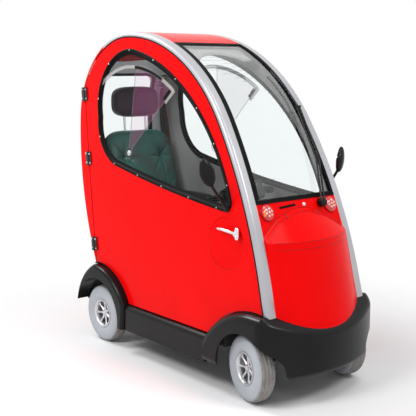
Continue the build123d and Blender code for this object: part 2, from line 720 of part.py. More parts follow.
# Rear transaxle with its motor
rear_transaxle = rod((rear_axle_x, -wheel_y - 20, axle_z), (rear_axle_x, wheel_y + 20, axle_z), shaft_radius)
rear_transaxle = rear_transaxle + rod((rear_axle_x, -hub_in + 40, axle_z), (rear_axle_x, hub_in - 40, axle_z), 24)
rear_transaxle = rear_transaxle + rod((rear_axle_x, -55, axle_z), (rear_axle_x, 55, axle_z), 55)
rear_transaxle = rear_transaxle + rod((rear_axle_x + 40, 20, axle_z), (rear_axle_x + 250, 20, axle_z), 45)
for y in (-rail_y, rail_y):
    rear_transaxle = rear_transaxle + block((rear_axle_x - 22, rear_axle_x + 22), (y - 5, y + 5),
                                            (axle_z, deck_z - rail_size))

# Seat on a box pedestal with the batteries inside
deck_top = deck_z + sheet
half_seat = waist - wall - seat_clearance
pedestal_x = (seat_rear_x, seat_front_x - 50)
pedestal_y = half_seat - 30
seat_pedestal = block(pedestal_x, (-pedestal_y, pedestal_y), (deck_top, seat_z))
seat_pedestal = seat_pedestal - block((pedestal_x[0] + sheet, pedestal_x[1] - sheet),
                                      (sheet - pedestal_y, pedestal_y - sheet), (0, seat_z - sheet))
battery_pack = block((seat_rear_x + 30, seat_front_x - 150), (-170, 170), (deck_top, deck_top + 110))
cushion_top = seat_z + cushion_thick
seat_cushion = block((seat_rear_x, seat_front_x), (-half_seat, half_seat), (seat_z, cushion_top))
seat_cushion = fillet(seat_cushion.edges(), 34)
back_low_x = seat_rear_x + 62
back_high_x = back_low_x - back_lean * (back_top - cushion_top)
back_face = outline(
    side, (back_low_x, cushion_top + 6),
    ((back_low_x + 8, (cushion_top + back_top) / 2 - 60), (back_high_x, back_top)),
    (back_high_x - 84, back_top), (seat_rear_x - 55, seat_z + 20), (seat_rear_x - 3, seat_z + 20),
    (seat_rear_x - 3, cushion_top + 6))
seat_back = prism(back_face, Y, -half_seat + 8, half_seat - 8)
back_edges = [e for e in seat_back.edges() if e.center().Z > cushion_top + 20 and e.center().X > back_high_x - 60]
seat_back = fillet(back_edges, 30)
post_x = back_high_x - 42
post = rod((post_x, -70, back_top - 60), (post_x - 6, -70, back_top + 90), 7)
headrest = Pos(post_x - 2, 0, back_top + 152) * fillet(Box(104, 288, 166).edges(), 46)
headrest = headrest + both(post) - seat_back
armrest_y = waist - wall - armrest_gap
armrest = block((seat_rear_x - 40, seat_front_x - 180), (-armrest_y, -armrest_y + 48), (armrest_z, armrest_z + 40))
armrest_post = block((seat_rear_x - 40, seat_rear_x), (-armrest_y + 22, -half_seat + 10), (armrest_z - 75, armrest_z + 25))
armrests = both(fillet(armrest.edges(), 15) + armrest_post) - seat_back

# Tiller: foot bracket, leaning column, console and bar with grips
toe_floor = floor_z + sheet - toe_step
foot = Vector(front_axle_x - tiller_setback, 0, toe_floor)
head = foot + Vector(-tiller_reach, 0, bar_z - toe_floor)
column_way = (head - foot).normalized()
column = Plane(origin=foot, x_dir=Vector(column_way.Z, 0, -column_way.X), z_dir=column_way)
column_length = (head - foot).length
foot_block = column * block((-45, 45), (-45, 45), (-60, 50)) & block((0, 700), (-100, 100), (toe_floor, 400))
tiller_base = foot_block - column * Cylinder(12 + running_gap, 400)
tiller = Pos(0, 0, 55) * Cylinder(20, column_length - 55, align=(Align.CENTER, Align.CENTER, Align.MIN))
tiller = tiller + Pos(0, 0, 24) * Cylinder(12, 60, align=(Align.CENTER, Align.CENTER, Align.MIN))
console = fillet(block((-62, 62), (-95, 95), (column_length - 50, column_length + 40)).edges(), 18)
bar = rod((0, 0, column_length), (0, -110, column_length), 11)
bar = bar + rod((0, -110, column_length), (-95, -bar_half, column_length + 10), 15) + Pos(0, -110, column_length) * Sphere(15)
tiller = tiller + console + both(bar)
tiller = (column * tiller).rotate(Axis(tuple(foot), tuple(column_way)), rest_steer)

# Trim inside the cabin and the wiper
headliner = skin(-wall - 0.5, wall + 10, 1000) & core(arch_top + 12, arch_rear_x + 30, roof_joint_x + 110)
headliner = headliner - Pos(roof_joint_x + 250, 0, 0) * Cylinder(200, 2 * deep)
dash_top = screen_base_z - 14
dash_x = front_x(dash_top) - 143
dash_face = outline(side, (dash_x, dash_top - 88), (dash_x, dash_top - 46), ((dash_x + 25, dash_top - 12), (dash_x + 85, dash_top)),
                    (deep, dash_top), (deep, dash_top - 12), (dash_x + 85, dash_top - 12),
                    ((dash_x + 35, dash_top - 22), (dash_x + 12, dash_top - 50)), (dash_x + 12, dash_top - 88))
dash = prism(dash_face, Y, -225, 225) & hull(wall + 0.3, 700)
wiper_z = screen_base_z - 27
wiper_y = 143.0
blade_path = [
    # angle along the roof arc, height over the glass, y
    (32.0, 20.0, 206.0),
    (35.6, 22.0, 204.0),
    (43.2, 18.0, 196.0),
    (50.2, 14.0, 180.0),
]
blade_points = []
for angle, proud, y in blade_path:
    x, z = roof_point(angle, -proud)
    blade_points.append((x, y, z))
wiper = rod((front_x(wiper_z) - 2, wiper_y, wiper_z), (front_x(wiper_z) + 26, wiper_y, wiper_z + 9), 20)
arm_x, arm_z_mid = roof_point(27.4, -27)
for y in (-9, 9):
    low_end = (front_x(wiper_z) + 20, wiper_y + y, wiper_z + 9)
    elbow = (arm_x, wiper_y + 45 + y, arm_z_mid)
    high_end = (blade_points[1][0], blade_points[1][1] + y, blade_points[1][2])
    wiper = wiper + rod(low_end, elbow, 4.5) + Pos(*elbow) * Sphere(4.5) + rod(elbow, high_end, 4.5)
x, y, z = blade_points[1]
wiper = wiper + rod((x, y - 14, z), (x, y + 14, z), 7)
for start, end in zip(blade_points, blade_points[1:]):
    wiper = wiper + rod(start, end, 5) + Pos(*end) * Sphere(5)
wiper = wiper - cabin

pieces = {
    "roof_panel": roof_panel,
    "arches": both(arch_right),
    "front_cowl": front_cowl,
    "bonnet": bonnet,
    "windscreen": windscreen,
    "windscreen_seal": windscreen_seal,
    "rear_panel": rear_panel,
    "rear_window": rear_window,
    "rear_window_seal": rear_window_seal,
    "bumper_front": bumper_front,
    "bumper_rear": bumper_rear,
    "sills": both(sill_right),
    "rear_fenders": both(rear_fender),
    "headlamps": headlamps,
    "tail_lamps": tail_lamps,
    "wiper": wiper,
    "headliner": headliner,
    "dash": dash,
    "floor_pan": floor_pan,
    "chassis_frame": chassis_frame,
    "front_axle_beam": front_axle_beam,
    "rear_transaxle": rear_transaxle,
    "battery_pack": battery_pack,
    "seat_pedestal": seat_pedestal,
    "seat_cushion": seat_cushion,
    "seat_back": seat_back,
    "headrest": headrest,
    "armrests": armrests,
    "tiller_base": tiller_base,
    "tiller": tiller,
    "knuckle_right": knuckle_right,
    "knuckle_left": knuckle_left,
    "tie_rod": tie_rod,
    "tyre_front_right": at_front(tyre, -wheel_y),
    "rim_front_right": at_front(rim, -wheel_y),
    "tyre_front_left": at_front(tyre_left, wheel_y),
    "rim_front_left": at_front(rim_left, wheel_y),
    "tyre_rear_right": at_rear(tyre, -wheel_y),
    "rim_rear_right": at_rear(rim, -wheel_y),
    "tyre_rear_left": at_rear(tyre_left, wheel_y),
    "rim_rear_left": at_rear(rim_left, wheel_y),
    "hinge_brackets": both(hinge_brackets),
    "door_right": door_right,
    "window_seal_right": window_seal_right,
    "window_right": window_right,
    "handle_right": handle_right,
    "mirror_right": mirror_right,
    "hinge_leaves_right": hinge_leaves_right,
    "door_left": door_left,
    "window_seal_left": window_seal_left,
    "window_left": window_left,
    "handle_left": handle_left,
    "mirror_left": mirror_left,
    "hinge_leaves_left": hinge_leaves_left,
}
for name, piece in pieces.items():
    print(name, len(piece.solids()), "solid(s)", round(piece.volume / 1000), "cm3")
    export_step(piece, f"parts/{name}.step")
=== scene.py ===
import json
from math import cos, pi, radians, sin, tan

import bmesh
import bpy
import numpy as np
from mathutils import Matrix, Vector

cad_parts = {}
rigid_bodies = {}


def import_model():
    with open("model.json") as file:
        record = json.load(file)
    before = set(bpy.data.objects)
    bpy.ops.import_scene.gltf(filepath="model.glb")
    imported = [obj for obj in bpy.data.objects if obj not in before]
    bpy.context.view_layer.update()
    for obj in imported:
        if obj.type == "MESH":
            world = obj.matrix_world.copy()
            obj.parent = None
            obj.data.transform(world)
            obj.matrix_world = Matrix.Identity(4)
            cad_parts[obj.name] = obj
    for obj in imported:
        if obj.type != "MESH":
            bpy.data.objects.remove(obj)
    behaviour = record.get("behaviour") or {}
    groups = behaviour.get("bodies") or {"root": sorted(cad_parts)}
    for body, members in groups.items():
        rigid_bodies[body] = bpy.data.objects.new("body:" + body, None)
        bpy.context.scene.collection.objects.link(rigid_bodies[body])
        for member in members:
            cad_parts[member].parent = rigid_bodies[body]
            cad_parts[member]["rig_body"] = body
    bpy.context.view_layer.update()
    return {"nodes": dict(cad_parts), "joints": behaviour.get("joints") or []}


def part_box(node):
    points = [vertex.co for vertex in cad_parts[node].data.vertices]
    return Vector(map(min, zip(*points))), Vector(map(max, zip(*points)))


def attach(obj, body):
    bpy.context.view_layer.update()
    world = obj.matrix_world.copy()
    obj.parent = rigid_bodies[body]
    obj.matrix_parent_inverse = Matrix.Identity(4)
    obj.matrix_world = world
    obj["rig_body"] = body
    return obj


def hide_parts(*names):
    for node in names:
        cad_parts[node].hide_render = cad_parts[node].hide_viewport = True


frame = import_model()
nodes = frame["nodes"]
sides = {"right": -1.0, "left": 1.0}
print("frame loaded:", len(nodes), "nodes")

# outline of the cabin in metres, the same arcs that the panels are cut from
cabin = {
    "apexX": -0.386, "topZ": 1.640, "browR": 0.897, "browTurn": radians(33.4), "screenR": 2.319,
    "lean": radians(13.9), "crownR": 0.434, "backR": 1.870, "backX": 1.050,
    "waist": 0.296, "waistZ": 0.950, "taper": 0.0427, "bulge": 0.008, "bulgeZ": 0.75, "arcPoints": 40,
}
cabin["browZ"] = cabin["topZ"] - cabin["browR"]
cabin["crownZ"] = cabin["topZ"] - cabin["crownR"]
cabin["screenX"] = cabin["apexX"] - (cabin["screenR"] - cabin["browR"]) * cos(cabin["browTurn"])
cabin["screenZ"] = cabin["browZ"] - (cabin["screenR"] - cabin["browR"]) * sin(cabin["browTurn"])


def flankY(z):  # half width of the cabin at a height: a slope plus a parabola
    rise = np.asarray(z) - cabin["waistZ"]
    return cabin["waist"] - cabin["taper"] * rise - cabin["bulge"] * (rise / cabin["bulgeZ"]) ** 2


def onFlank(x, z, sign, proud=0.0):  # points on one side of the cabin, and so far outside it
    return np.stack([x, sign * (flankY(z) + proud), z], -1)


def frontX(z):  # front wall at a height: a straight lean up to the knee, then the arc of the screen
    z = np.asarray(z, float)
    r, lean = cabin["screenR"], cabin["lean"]
    kneeX, kneeZ = cabin["screenX"] + r * cos(lean), cabin["screenZ"] + r * sin(lean)
    arc = cabin["screenX"] + np.sqrt(r ** 2 - (np.maximum(z, kneeZ) - cabin["screenZ"]) ** 2)
    return np.where(z < kneeZ, kneeX + (kneeZ - z) * tan(lean), arc)


def roofPoint(angle, proud=0.0):  # on the brow arc, or the flatter screen arc below it, by degrees above forward
    turn = np.radians(angle)
    high = turn >= cabin["browTurn"]
    r = np.where(high, cabin["browR"], cabin["screenR"]) + proud
    x = np.where(high, cabin["apexX"], cabin["screenX"]) + r * np.cos(turn)
    return x, np.where(high, cabin["browZ"], cabin["screenZ"]) + r * np.sin(turn)


def crownPoint(angle, proud=0.0):  # on the rear arc of the roof
    r = cabin["crownR"] + proud
    return cabin["apexX"] + r * np.cos(np.radians(angle)), cabin["crownZ"] + r * np.sin(np.radians(angle))


def tailX(z):  # the long arc of the back
    return cabin["backX"] - np.sqrt(cabin["backR"] ** 2 - (cabin["crownZ"] - np.asarray(z)) ** 2)


def outlineDepth(x, z):  # how far inside the side outline a point lies: radius of its arc less its distance
    c = cabin
    brow = c["browR"] - np.hypot(x - c["apexX"], z - c["browZ"])
    screen = c["screenR"] - np.hypot(x - c["screenX"], z - c["screenZ"])
    crown = c["crownR"] - np.hypot(x - c["apexX"], z - c["crownZ"])
    back = c["backR"] - np.hypot(x - c["backX"], z - c["crownZ"])
    ahead = np.where(z - c["browZ"] > (x - c["apexX"]) * tan(c["browTurn"]), brow, screen)
    return np.where(x > c["apexX"], ahead, np.where(z > c["crownZ"], crown, back))


# outline from the foot of the front wall over the roof, evenly spaced: line, screen arc, brow arc, crown arc
def outlinePath(inset, lowZ, endAngle, count=160):
    lean, browTurn, n = np.degrees(cabin["lean"]), np.degrees(cabin["browTurn"]), cabin["arcPoints"]
    sx, sz = roofPoint(np.linspace(lean, browTurn - 0.01, n), -inset)
    bx, bz = roofPoint(np.linspace(browTurn, 90, n), -inset)
    cx, cz = crownPoint(np.linspace(90, endAngle, n)[1:], -inset)
    footX = sx[0] + (sz[0] - lowZ) * tan(cabin["lean"])
    return evenPath(np.concatenate([[footX], sx, bx, cx]), np.concatenate([[lowZ], sz, bz, cz]), count)


def evenPath(x, z, count, closed=False):  # the same line with its points at equal distances
    if closed:
        x, z = np.append(x, x[0]), np.append(z, z[0])
    run = np.concatenate([[0], np.cumsum(np.hypot(np.diff(x), np.diff(z)))])
    even = np.linspace(0, run[-1], count, endpoint=not closed)
    return np.interp(even, run, x), np.interp(even, run, z)


def arcThrough(first, middle, last, count):  # circle through three points, from the first to the last
    (ax, az), (bx, bz), (cx, cz) = first, middle, last
    area = 2 * (ax * (bz - cz) + bx * (cz - az) + cx * (az - bz))
    a2, b2, c2 = ax ** 2 + az ** 2, bx ** 2 + bz ** 2, cx ** 2 + cz ** 2
    ox = (a2 * (bz - cz) + b2 * (cz - az) + c2 * (az - bz)) / area
    oz = (a2 * (cx - bx) + b2 * (ax - cx) + c2 * (bx - ax)) / area
    start, mid, end = (np.arctan2(z - oz, x - ox) for x, z in (first, middle, last))
    turn = (end - start) % (2 * pi)
    if (mid - start) % (2 * pi) > turn:
        turn -= 2 * pi
    angle = start + turn * np.linspace(0, 1, count)
    r = np.hypot(ax - ox, az - oz)
    return ox + r * np.cos(angle), oz + r * np.sin(angle)


# quads of a grid of rows and columns, closed where asked
def gridQuads(rows, cols, closeRows=False, closeCols=False):
    i = np.arange(rows if closeRows else rows - 1)
    j = np.arange(cols if closeCols else cols - 1)
    i, j = np.meshgrid(i, j, indexing="ij")
    i2, j2 = (i + 1) % rows, (j + 1) % cols
    quads = np.stack([i * cols + j, i2 * cols + j, i2 * cols + j2, i * cols + j2], -1)
    return quads.reshape(-1, 4)


def barrelFaces(rows, cols):  # a grid closed round its columns, with a cap on the first and the last row
    last = (rows - 1) * cols
    caps = [list(range(cols)), list(range(last, last + cols))]
    return gridQuads(rows, cols, closeCols=True).tolist() + caps


# a part is points and faces; several parts become one mesh piece
def makePiece(name, parts, finish, body, smooth=40, replaces=()):
    points, faces, start = [], [], 0
    for partPoints, partFaces in parts:
        partPoints = np.asarray(partPoints, float).reshape(-1, 3)
        points.append(partPoints)
        faces += [[int(k) + start for k in face] for face in partFaces]
        start += len(partPoints)
    mesh = bpy.data.meshes.new(name)
    mesh.from_pydata(np.concatenate(points).tolist(), [], faces)
    cleanMesh(mesh, smooth)
    return dressPiece(name, mesh, finish, body, replaces)


def cleanMesh(mesh, smooth, recalc=True):
    work = bmesh.new()
    work.from_mesh(mesh)
    bmesh.ops.remove_doubles(work, verts=work.verts, dist=1e-6)
    bmesh.ops.dissolve_degenerate(work, edges=work.edges, dist=1e-7)
    if recalc:
        bmesh.ops.recalc_face_normals(work, faces=work.faces)
    work.to_mesh(mesh)
    work.free()
    mesh.polygons.foreach_set("use_smooth", np.ones(len(mesh.polygons), bool))
    mesh.set_sharp_from_angle(angle=radians(smooth))
    mesh.update()


def dressPiece(name, mesh, finish, body, replaces=()):
    piece = bpy.data.objects.new(name, mesh)
    bpy.context.scene.collection.objects.link(piece)
    piece.data.materials.append(finishes[finish])
    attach(piece, body)
    if replaces:
        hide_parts(*replaces)
    return piece


def faceCentres(mesh):
    centres = np.empty(3 * len(mesh.polygons))
    mesh.polygons.foreach_get("center", centres)
    return centres.reshape(-1, 3)


# a round bar along a path; ring plane kept square to the path and to a reference direction
def tube(path, radius, ref=(0, 1, 0), count=12, closed=False, squash=1.0):
    path = np.asarray(path, float)
    tangent = np.roll(path, -1, 0) - np.roll(path, 1, 0) if closed else np.gradient(path, axis=0)
    tangent /= np.linalg.norm(tangent, axis=1)[:, None]
    side = np.cross(tangent, np.asarray(ref, float))
    side /= np.linalg.norm(side, axis=1)[:, None]
    up = np.cross(side, tangent)
    turn = np.linspace(0, 2 * pi, count, endpoint=False)
    r = np.broadcast_to(np.asarray(radius, float), (len(path),))[:, None, None]
    ring = side[:, None] * np.cos(turn)[None, :, None] * squash + up[:, None] * np.sin(turn)[None, :, None]
    points = path[:, None] + r * ring
    if closed:
        return points.reshape(-1, 3), gridQuads(len(path), count, closeRows=True, closeCols=True).tolist()
    return points.reshape(-1, 3), barrelFaces(len(path), count)


def axes(direction):  # two unit vectors square to a direction, and its own
    d = Vector(direction).normalized()
    a = d.orthogonal().normalized()
    return np.array(a), np.array(d.cross(a)), np.array(d)


def spinProfile(profile, origin, direction, count):  # radius and height carried round an axis
    a, b, d = axes(direction)
    profile = np.asarray(profile, float)
    turn = np.linspace(0, 2 * pi, count, endpoint=False)
    ring = a * np.cos(turn)[:, None] + b * np.sin(turn)[:, None]
    return np.asarray(origin) + profile[:, 0, None, None] * ring + profile[:, 1, None, None] * d


def lathe(profile, origin, direction, count=48):  # a turned solid, capped at its first and last points
    return spinProfile(profile, origin, direction, count).reshape(-1, 3), barrelFaces(len(profile), count)


def signedPower(value, power):
    return np.sign(value) * np.abs(value) ** power


def sphereAngles(rows, cols):
    across = np.linspace(-pi, pi, cols, endpoint=False)
    return np.meshgrid(np.linspace(-pi / 2, pi / 2, rows), across, indexing="ij")


# a rounded block: a sphere's angles with their sines and cosines raised to a power
def superPad(centre, half, power, rows=40, cols=96):
    v, u = sphereAngles(rows, cols)
    ring = signedPower(np.maximum(np.cos(v), 0), power)
    points = np.stack([ring * signedPower(np.cos(u), power), ring * signedPower(np.sin(u), power),
                       signedPower(np.sin(v), power)], -1) * np.asarray(half)
    return points + np.asarray(centre), gridQuads(rows, cols, closeCols=True)


def dome(place, direction, radius, height, count=16):  # a low cap, such as a screw head
    t = np.linspace(0, pi / 2, 6)
    profile = np.stack([radius * np.cos(t) + 1e-4, height * np.sin(t)], -1)
    return lathe(np.concatenate([[(radius, -height * 0.5)], profile]), place, direction, count)


def smoothStep(low, high, value):
    t = np.clip((value - low) / (high - low), 0, 1)
    return t * t * (3 - 2 * t)


def addNode(tree, kind, spot=(0, 0), inputs=(), **settings):  # settings come first, as they decide the sockets
    node = tree.nodes.new(kind)
    node.location = spot
    for name, value in settings.items():
        setattr(node, name, value)
    for socket, value in dict(inputs).items():
        node.inputs[socket].default_value = value
    return node


def wire(tree, *links):  # each link is a node and its output, then a node and its input
    for source, output, target, socket in links:
        tree.links.new(source.outputs[output], target.inputs[socket])


def newMaterial(name, sockets):  # a material, its node tree and its shader
    material = bpy.data.materials.new(name)
    material.use_nodes = True
    shader = material.node_tree.nodes["Principled BSDF"]
    for socket, value in sockets.items():
        shader.inputs[socket].default_value = value
    return material, material.node_tree, shader


def mixSurface(tree, share, first, second):  # the material's surface goes from the first shader to the second
    mix = addNode(tree, "ShaderNodeMixShader", (250, 0))
    wire(tree, (share, 0, mix, "Fac"), (first, 0, mix, 1), (second, 0, mix, 2),
         (mix, 0, tree.nodes["Material Output"], "Surface"))


# shader groups used by several finishes; sockets are given as label, kind and first value
def groupShell(name, inputs, outputs):
    group = bpy.data.node_groups.new(name, "ShaderNodeTree")
    for label, kind, value in inputs:
        socket = group.interface.new_socket(name=label, in_out="INPUT", socket_type=f"NodeSocket{kind}")
        if value is not None:
            socket.default_value = value
    for label, kind in outputs:
        group.interface.new_socket(name=label, in_out="OUTPUT", socket_type=f"NodeSocket{kind}")
    return group, group.nodes.new("NodeGroupInput"), group.nodes.new("NodeGroupOutput")


def driftGroup():  # two colours mixed by slow noise
    group, gin, gout = groupShell("colourDrift", [
        ("Vector", "Vector", None), ("Scale", "Float", 4.0), ("Colour", "Color", (1, 1, 1, 1)),
        ("Shade", "Color", (0, 0, 0, 1))], [("Colour", "Color")])
    noise = addNode(group, "ShaderNodeTexNoise", inputs={"Detail": 4})
    spread = addNode(group, "ShaderNodeMapRange", inputs={"From Min": 0.32, "From Max": 0.68})
    mix = addNode(group, "ShaderNodeMix", data_type="RGBA")
    wire(group, (gin, "Vector", noise, "Vector"), (gin, "Scale", noise, "Scale"), (noise, "Fac", spread, "Value"),
         (spread, "Result", mix, "Factor"), (gin, "Colour", mix, "A"), (gin, "Shade", mix, "B"),
         (mix, "Result", gout, "Colour"))
    return group


def grainGroup():  # fine height, and a roughness that wanders about a middle
    group, gin, gout = groupShell("surfaceGrain", [
        ("Vector", "Vector", None), ("Scale", "Float", 400.0), ("Smudge", "Float", 9.0),
        ("Rough", "Float", 0.3), ("Spread", "Float", 0.08)], [("Height", "Float"), ("Rough", "Float")])
    fine = addNode(group, "ShaderNodeTexNoise", inputs={"Detail": 2})
    slow = addNode(group, "ShaderNodeTexNoise", inputs={"Detail": 5})
    centre = addNode(group, "ShaderNodeMath", inputs={1: 0.5}, operation="SUBTRACT")
    gain = addNode(group, "ShaderNodeMath", operation="MULTIPLY_ADD")
    wire(group, (gin, "Vector", fine, "Vector"), (gin, "Scale", fine, "Scale"), (gin, "Vector", slow, "Vector"),
         (gin, "Smudge", slow, "Scale"), (slow, "Fac", centre, 0), (centre, 0, gain, 0), (gin, "Spread", gain, 1),
         (gin, "Rough", gain, 2), (fine, "Fac", gout, "Height"), (gain, 0, gout, "Rough"))
    return group


def dustGroup():  # road dust that thins out with height above the ground
    group, gin, gout = groupShell("roadDust", [
        ("Vector", "Vector", None), ("Colour", "Color", (1, 1, 1, 1)), ("Dust", "Color", (0.3, 0.27, 0.23, 1)),
        ("Top", "Float", 0.35), ("Amount", "Float", 0.3)], [("Colour", "Color")])
    split = addNode(group, "ShaderNodeSeparateXYZ")
    fade = addNode(group, "ShaderNodeMapRange", inputs={"From Max": 0.0})
    noise = addNode(group, "ShaderNodeTexNoise", inputs={"Scale": 22, "Detail": 6})
    patch = addNode(group, "ShaderNodeMath", operation="MULTIPLY")
    amount = addNode(group, "ShaderNodeMath", operation="MULTIPLY")
    mix = addNode(group, "ShaderNodeMix", data_type="RGBA")
    wire(group, (gin, "Vector", split, 0), (gin, "Vector", noise, "Vector"), (split, "Z", fade, "Value"),
         (gin, "Top", fade, "From Min"), (fade, "Result", patch, 0), (noise, "Fac", patch, 1),
         (patch, 0, amount, 0), (gin, "Amount", amount, 1), (amount, 0, mix, "Factor"), (gin, "Colour", mix, "A"),
         (gin, "Dust", mix, "B"), (mix, "Result", gout, "Colour"))
    return group


shared = {"drift": driftGroup(), "grain": grainGroup(), "dust": dustGroup()}

# short words for the shader sockets that the finishes set
socketOf = {"spec": "Specular IOR Level", "coat": "Coat Weight", "coatRough": "Coat Roughness", "metal": "Metallic",
            "sheen": "Sheen Weight", "alpha": "Alpha"}

# each finish: record slot, colour, its slow shade, roughness and its spread, grain and its bump, shader sockets
finishSpecs = {
    "redGloss": ("red_paint", (0.90, 0.0012, 0.0018), (0.84, 0.001, 0.0015), 0.20, 0.05, 900, 0.004,
                 {"spec": 0.05, "coat": 0.03, "coatRough": 0.04}),
    # darker red for bezels and latches, also painted as shade in the lines along the bonnet's crease and round the
    # door's dish
    "redTrimAndShade": ("red_paint", (0.42, 0.002, 0.003), (0.34, 0.002, 0.003), 0.35, 0.08, 900, 0.02, {"spec": 0.2}),
    "silverSatin": ("silver_paint", (0.47, 0.475, 0.50), (0.42, 0.425, 0.45), 0.36, 0.06, 1400, 0.006,
                    {"metal": 0.35, "coat": 0.2, "coatRough": 0.1}),
    "blackMoulding": ("black_trim", (0.0045, 0.0045, 0.005), (0.008, 0.008, 0.009), 0.24, 0.08, 700, 0.01,
                      {"spec": 0.17}),
    # black for rubber seals and beads, also painted as the shade inside the cowl's air slot
    "blackRubberAndShade": ("rubber_seal", (0.003, 0.003, 0.003), (0.007, 0.007, 0.0075), 0.50, 0.14, 500, 0.06,
                    {"spec": 0.06}),
    "greyTyre": ("grey_tyre", (0.47, 0.505, 0.55), (0.40, 0.43, 0.465), 0.78, 0.12, 420, 0.12, {"spec": 0.25}),
    "tyreTread": ("grey_tyre", (0.30, 0.29, 0.285), (0.22, 0.205, 0.195), 0.85, 0.1, 420, 0.2, {"spec": 0.2}),
    "alloy": ("alloy", (0.66, 0.66, 0.68), (0.55, 0.55, 0.57), 0.33, 0.14, 600, 0.03, {"metal": 0.85}),
    "chrome": ("chrome", (0.80, 0.80, 0.82), (0.70, 0.70, 0.72), 0.10, 0.06, 300, 0.01, {"metal": 1.0}),
    "headCloth": ("grey_trim", (0.42, 0.41, 0.40), (0.34, 0.33, 0.32), 0.8, 0.1, 700, 0.16, {"spec": 0.2}),
    "greyTrim": ("grey_trim", (0.24, 0.235, 0.235), (0.19, 0.185, 0.185), 0.6, 0.12, 900, 0.10, {"spec": 0.2}),
    "brownTrim": ("grey_trim", (0.115, 0.092, 0.085), (0.085, 0.07, 0.066), 0.55, 0.12, 900, 0.10, {"spec": 0.15}),
    "doorTrim": ("grey_trim", (0.31, 0.295, 0.29), (0.25, 0.24, 0.235), 0.55, 0.12, 900, 0.10, {"spec": 0.15}),
    # pale, painted as light: round the rear window as the light of the window, and on the cowl as a glint
    "palePaintedLight": ("grey_trim", (0.80, 0.80, 0.82), (0.74, 0.74, 0.76), 0.45, 0.10, 900, 0.05, {}),
    "floorMat": ("grey_trim", (0.05, 0.05, 0.053), (0.035, 0.035, 0.038), 0.85, 0.1, 260, 0.3, {}),
    "blackSteel": ("black_steel", (0.018, 0.018, 0.02), (0.03, 0.03, 0.032), 0.45, 0.15, 350, 0.06, {"spec": 0.5}),
    "batteryCase": ("battery_case", (0.03, 0.03, 0.032), (0.022, 0.022, 0.024), 0.6, 0.1, 500, 0.08, {}),
    "seatVinyl": ("seat_vinyl", (0.020, 0.019, 0.021), (0.013, 0.0125, 0.014), 0.36, 0.14, 260, 0.22,
                  {"spec": 0.16, "sheen": 0.03}),
    "backVinyl": ("seat_vinyl", (0.046, 0.046, 0.046), (0.016, 0.150, 0.118), 0.36, 0.14, 260, 0.22,
                  {"spec": 0.18, "sheen": 0.03}),
    "headVinyl": ("seat_vinyl", (0.012, 0.011, 0.012), (0.045, 0.014, 0.034), 0.36, 0.14, 260, 0.22,
                  {"spec": 0.16, "sheen": 0.03}),
    "lampRed": ("headlamp_lens", (0.72, 0.012, 0.010), (0.60, 0.008, 0.008), 0.12, 0.04, 200, 0.03,
                {"coat": 0.6, "coatRough": 0.03}),
    "lampClear": ("headlamp_lens", (0.78, 0.56, 0.52), (0.66, 0.40, 0.36), 0.08, 0.04, 200, 0.05,
                  {"metal": 0.3, "coat": 0.8, "coatRough": 0.02}),
    "lampAmber": ("headlamp_lens", (0.90, 0.28, 0.01), (0.80, 0.20, 0.01), 0.10, 0.04, 200, 0.04,
                  {"coat": 0.8, "coatRough": 0.02}),
    "tailRed": ("tail_lens", (0.20, 0.003, 0.005), (0.14, 0.002, 0.004), 0.12, 0.05, 260, 0.05,
                {"coat": 0.8, "coatRough": 0.02}),
    "dashTop": ("grey_trim", (0.55, 0.58, 0.64), (0.47, 0.50, 0.56), 0.45, 0.10, 900, 0.06, {}),
    "gaugeFace": ("black_trim", (0.012, 0.014, 0.02), (0.02, 0.024, 0.035), 0.08, 0.04, 200, 0.0,
                  {"coat": 0.7, "coatRough": 0.02}),
    "ventPane": ("clear_glass", (0.60, 0.17, 0.40), (0.55, 0.15, 0.37), 0.08, 0.03, 200, 0.0,
                 {"alpha": 0.075, "spec": 0.1}),
    "ventRim": ("clear_glass", (0.62, 0.60, 0.58), (0.52, 0.50, 0.48), 0.10, 0.03, 200, 0.0, {"alpha": 0.45}),
    "mirrorGlass": ("chrome", (0.85, 0.87, 0.90), (0.80, 0.82, 0.86), 0.03, 0.02, 100, 0.0, {"metal": 1.0}),
}
driftScale = {"tyreTread": 24, "backVinyl": 7.0, "headVinyl": 2.6}  # 5 for the other finishes
dustOn = {"blackMoulding": (0.30, 0.02), "greyTyre": (0.5, 0.25), "tyreTread": (0.5, 0.3),
          "blackSteel": (0.4, 0.3)}  # height at which the dust ends, and its amount


def makeFinish(name, colour, shade, rough, spread, grainScale, bumpLevel, sockets):
    material, tree, shader = newMaterial(name, {socketOf[word]: value for word, value in sockets.items()})
    coords = addNode(tree, "ShaderNodeTexCoord", (-1100, 0))
    drift = addNode(tree, "ShaderNodeGroup", (-800, 200), {
        "Scale": driftScale.get(name, 5.0), "Colour": (*colour, 1), "Shade": (*shade, 1)}, node_tree=shared["drift"])
    grain = addNode(tree, "ShaderNodeGroup", (-800, -200), {
        "Scale": grainScale, "Rough": rough, "Spread": spread}, node_tree=shared["grain"])
    wire(tree, (coords, "Object", drift, "Vector"), (coords, "Object", grain, "Vector"))
    tint = drift
    if name in dustOn:
        top, amount = dustOn[name]
        tint = addNode(tree, "ShaderNodeGroup", (-500, 250), {"Top": top, "Amount": amount}, node_tree=shared["dust"])
        wire(tree, (coords, "Object", tint, "Vector"), (drift, "Colour", tint, "Colour"))
    wire(tree, (tint, "Colour", shader, "Base Color"), (grain, "Rough", shader, "Roughness"))
    if bumpLevel > 0:
        bump = addNode(tree, "ShaderNodeBump", (-400, -250), {"Strength": min(1.0, bumpLevel * 2), "Distance": 0.001})
        wire(tree, (grain, "Height", bump, "Height"), (bump, "Normal", shader, "Normal"))
    return material


# side and rear panes are thin; the screen mirrors more of the studio
glassLook = {"tint": (0.94, 0.965, 0.965, 1), "rough": 0.0, "ior": {"clearGlass": 1.12, "screenGlass": 1.50}}


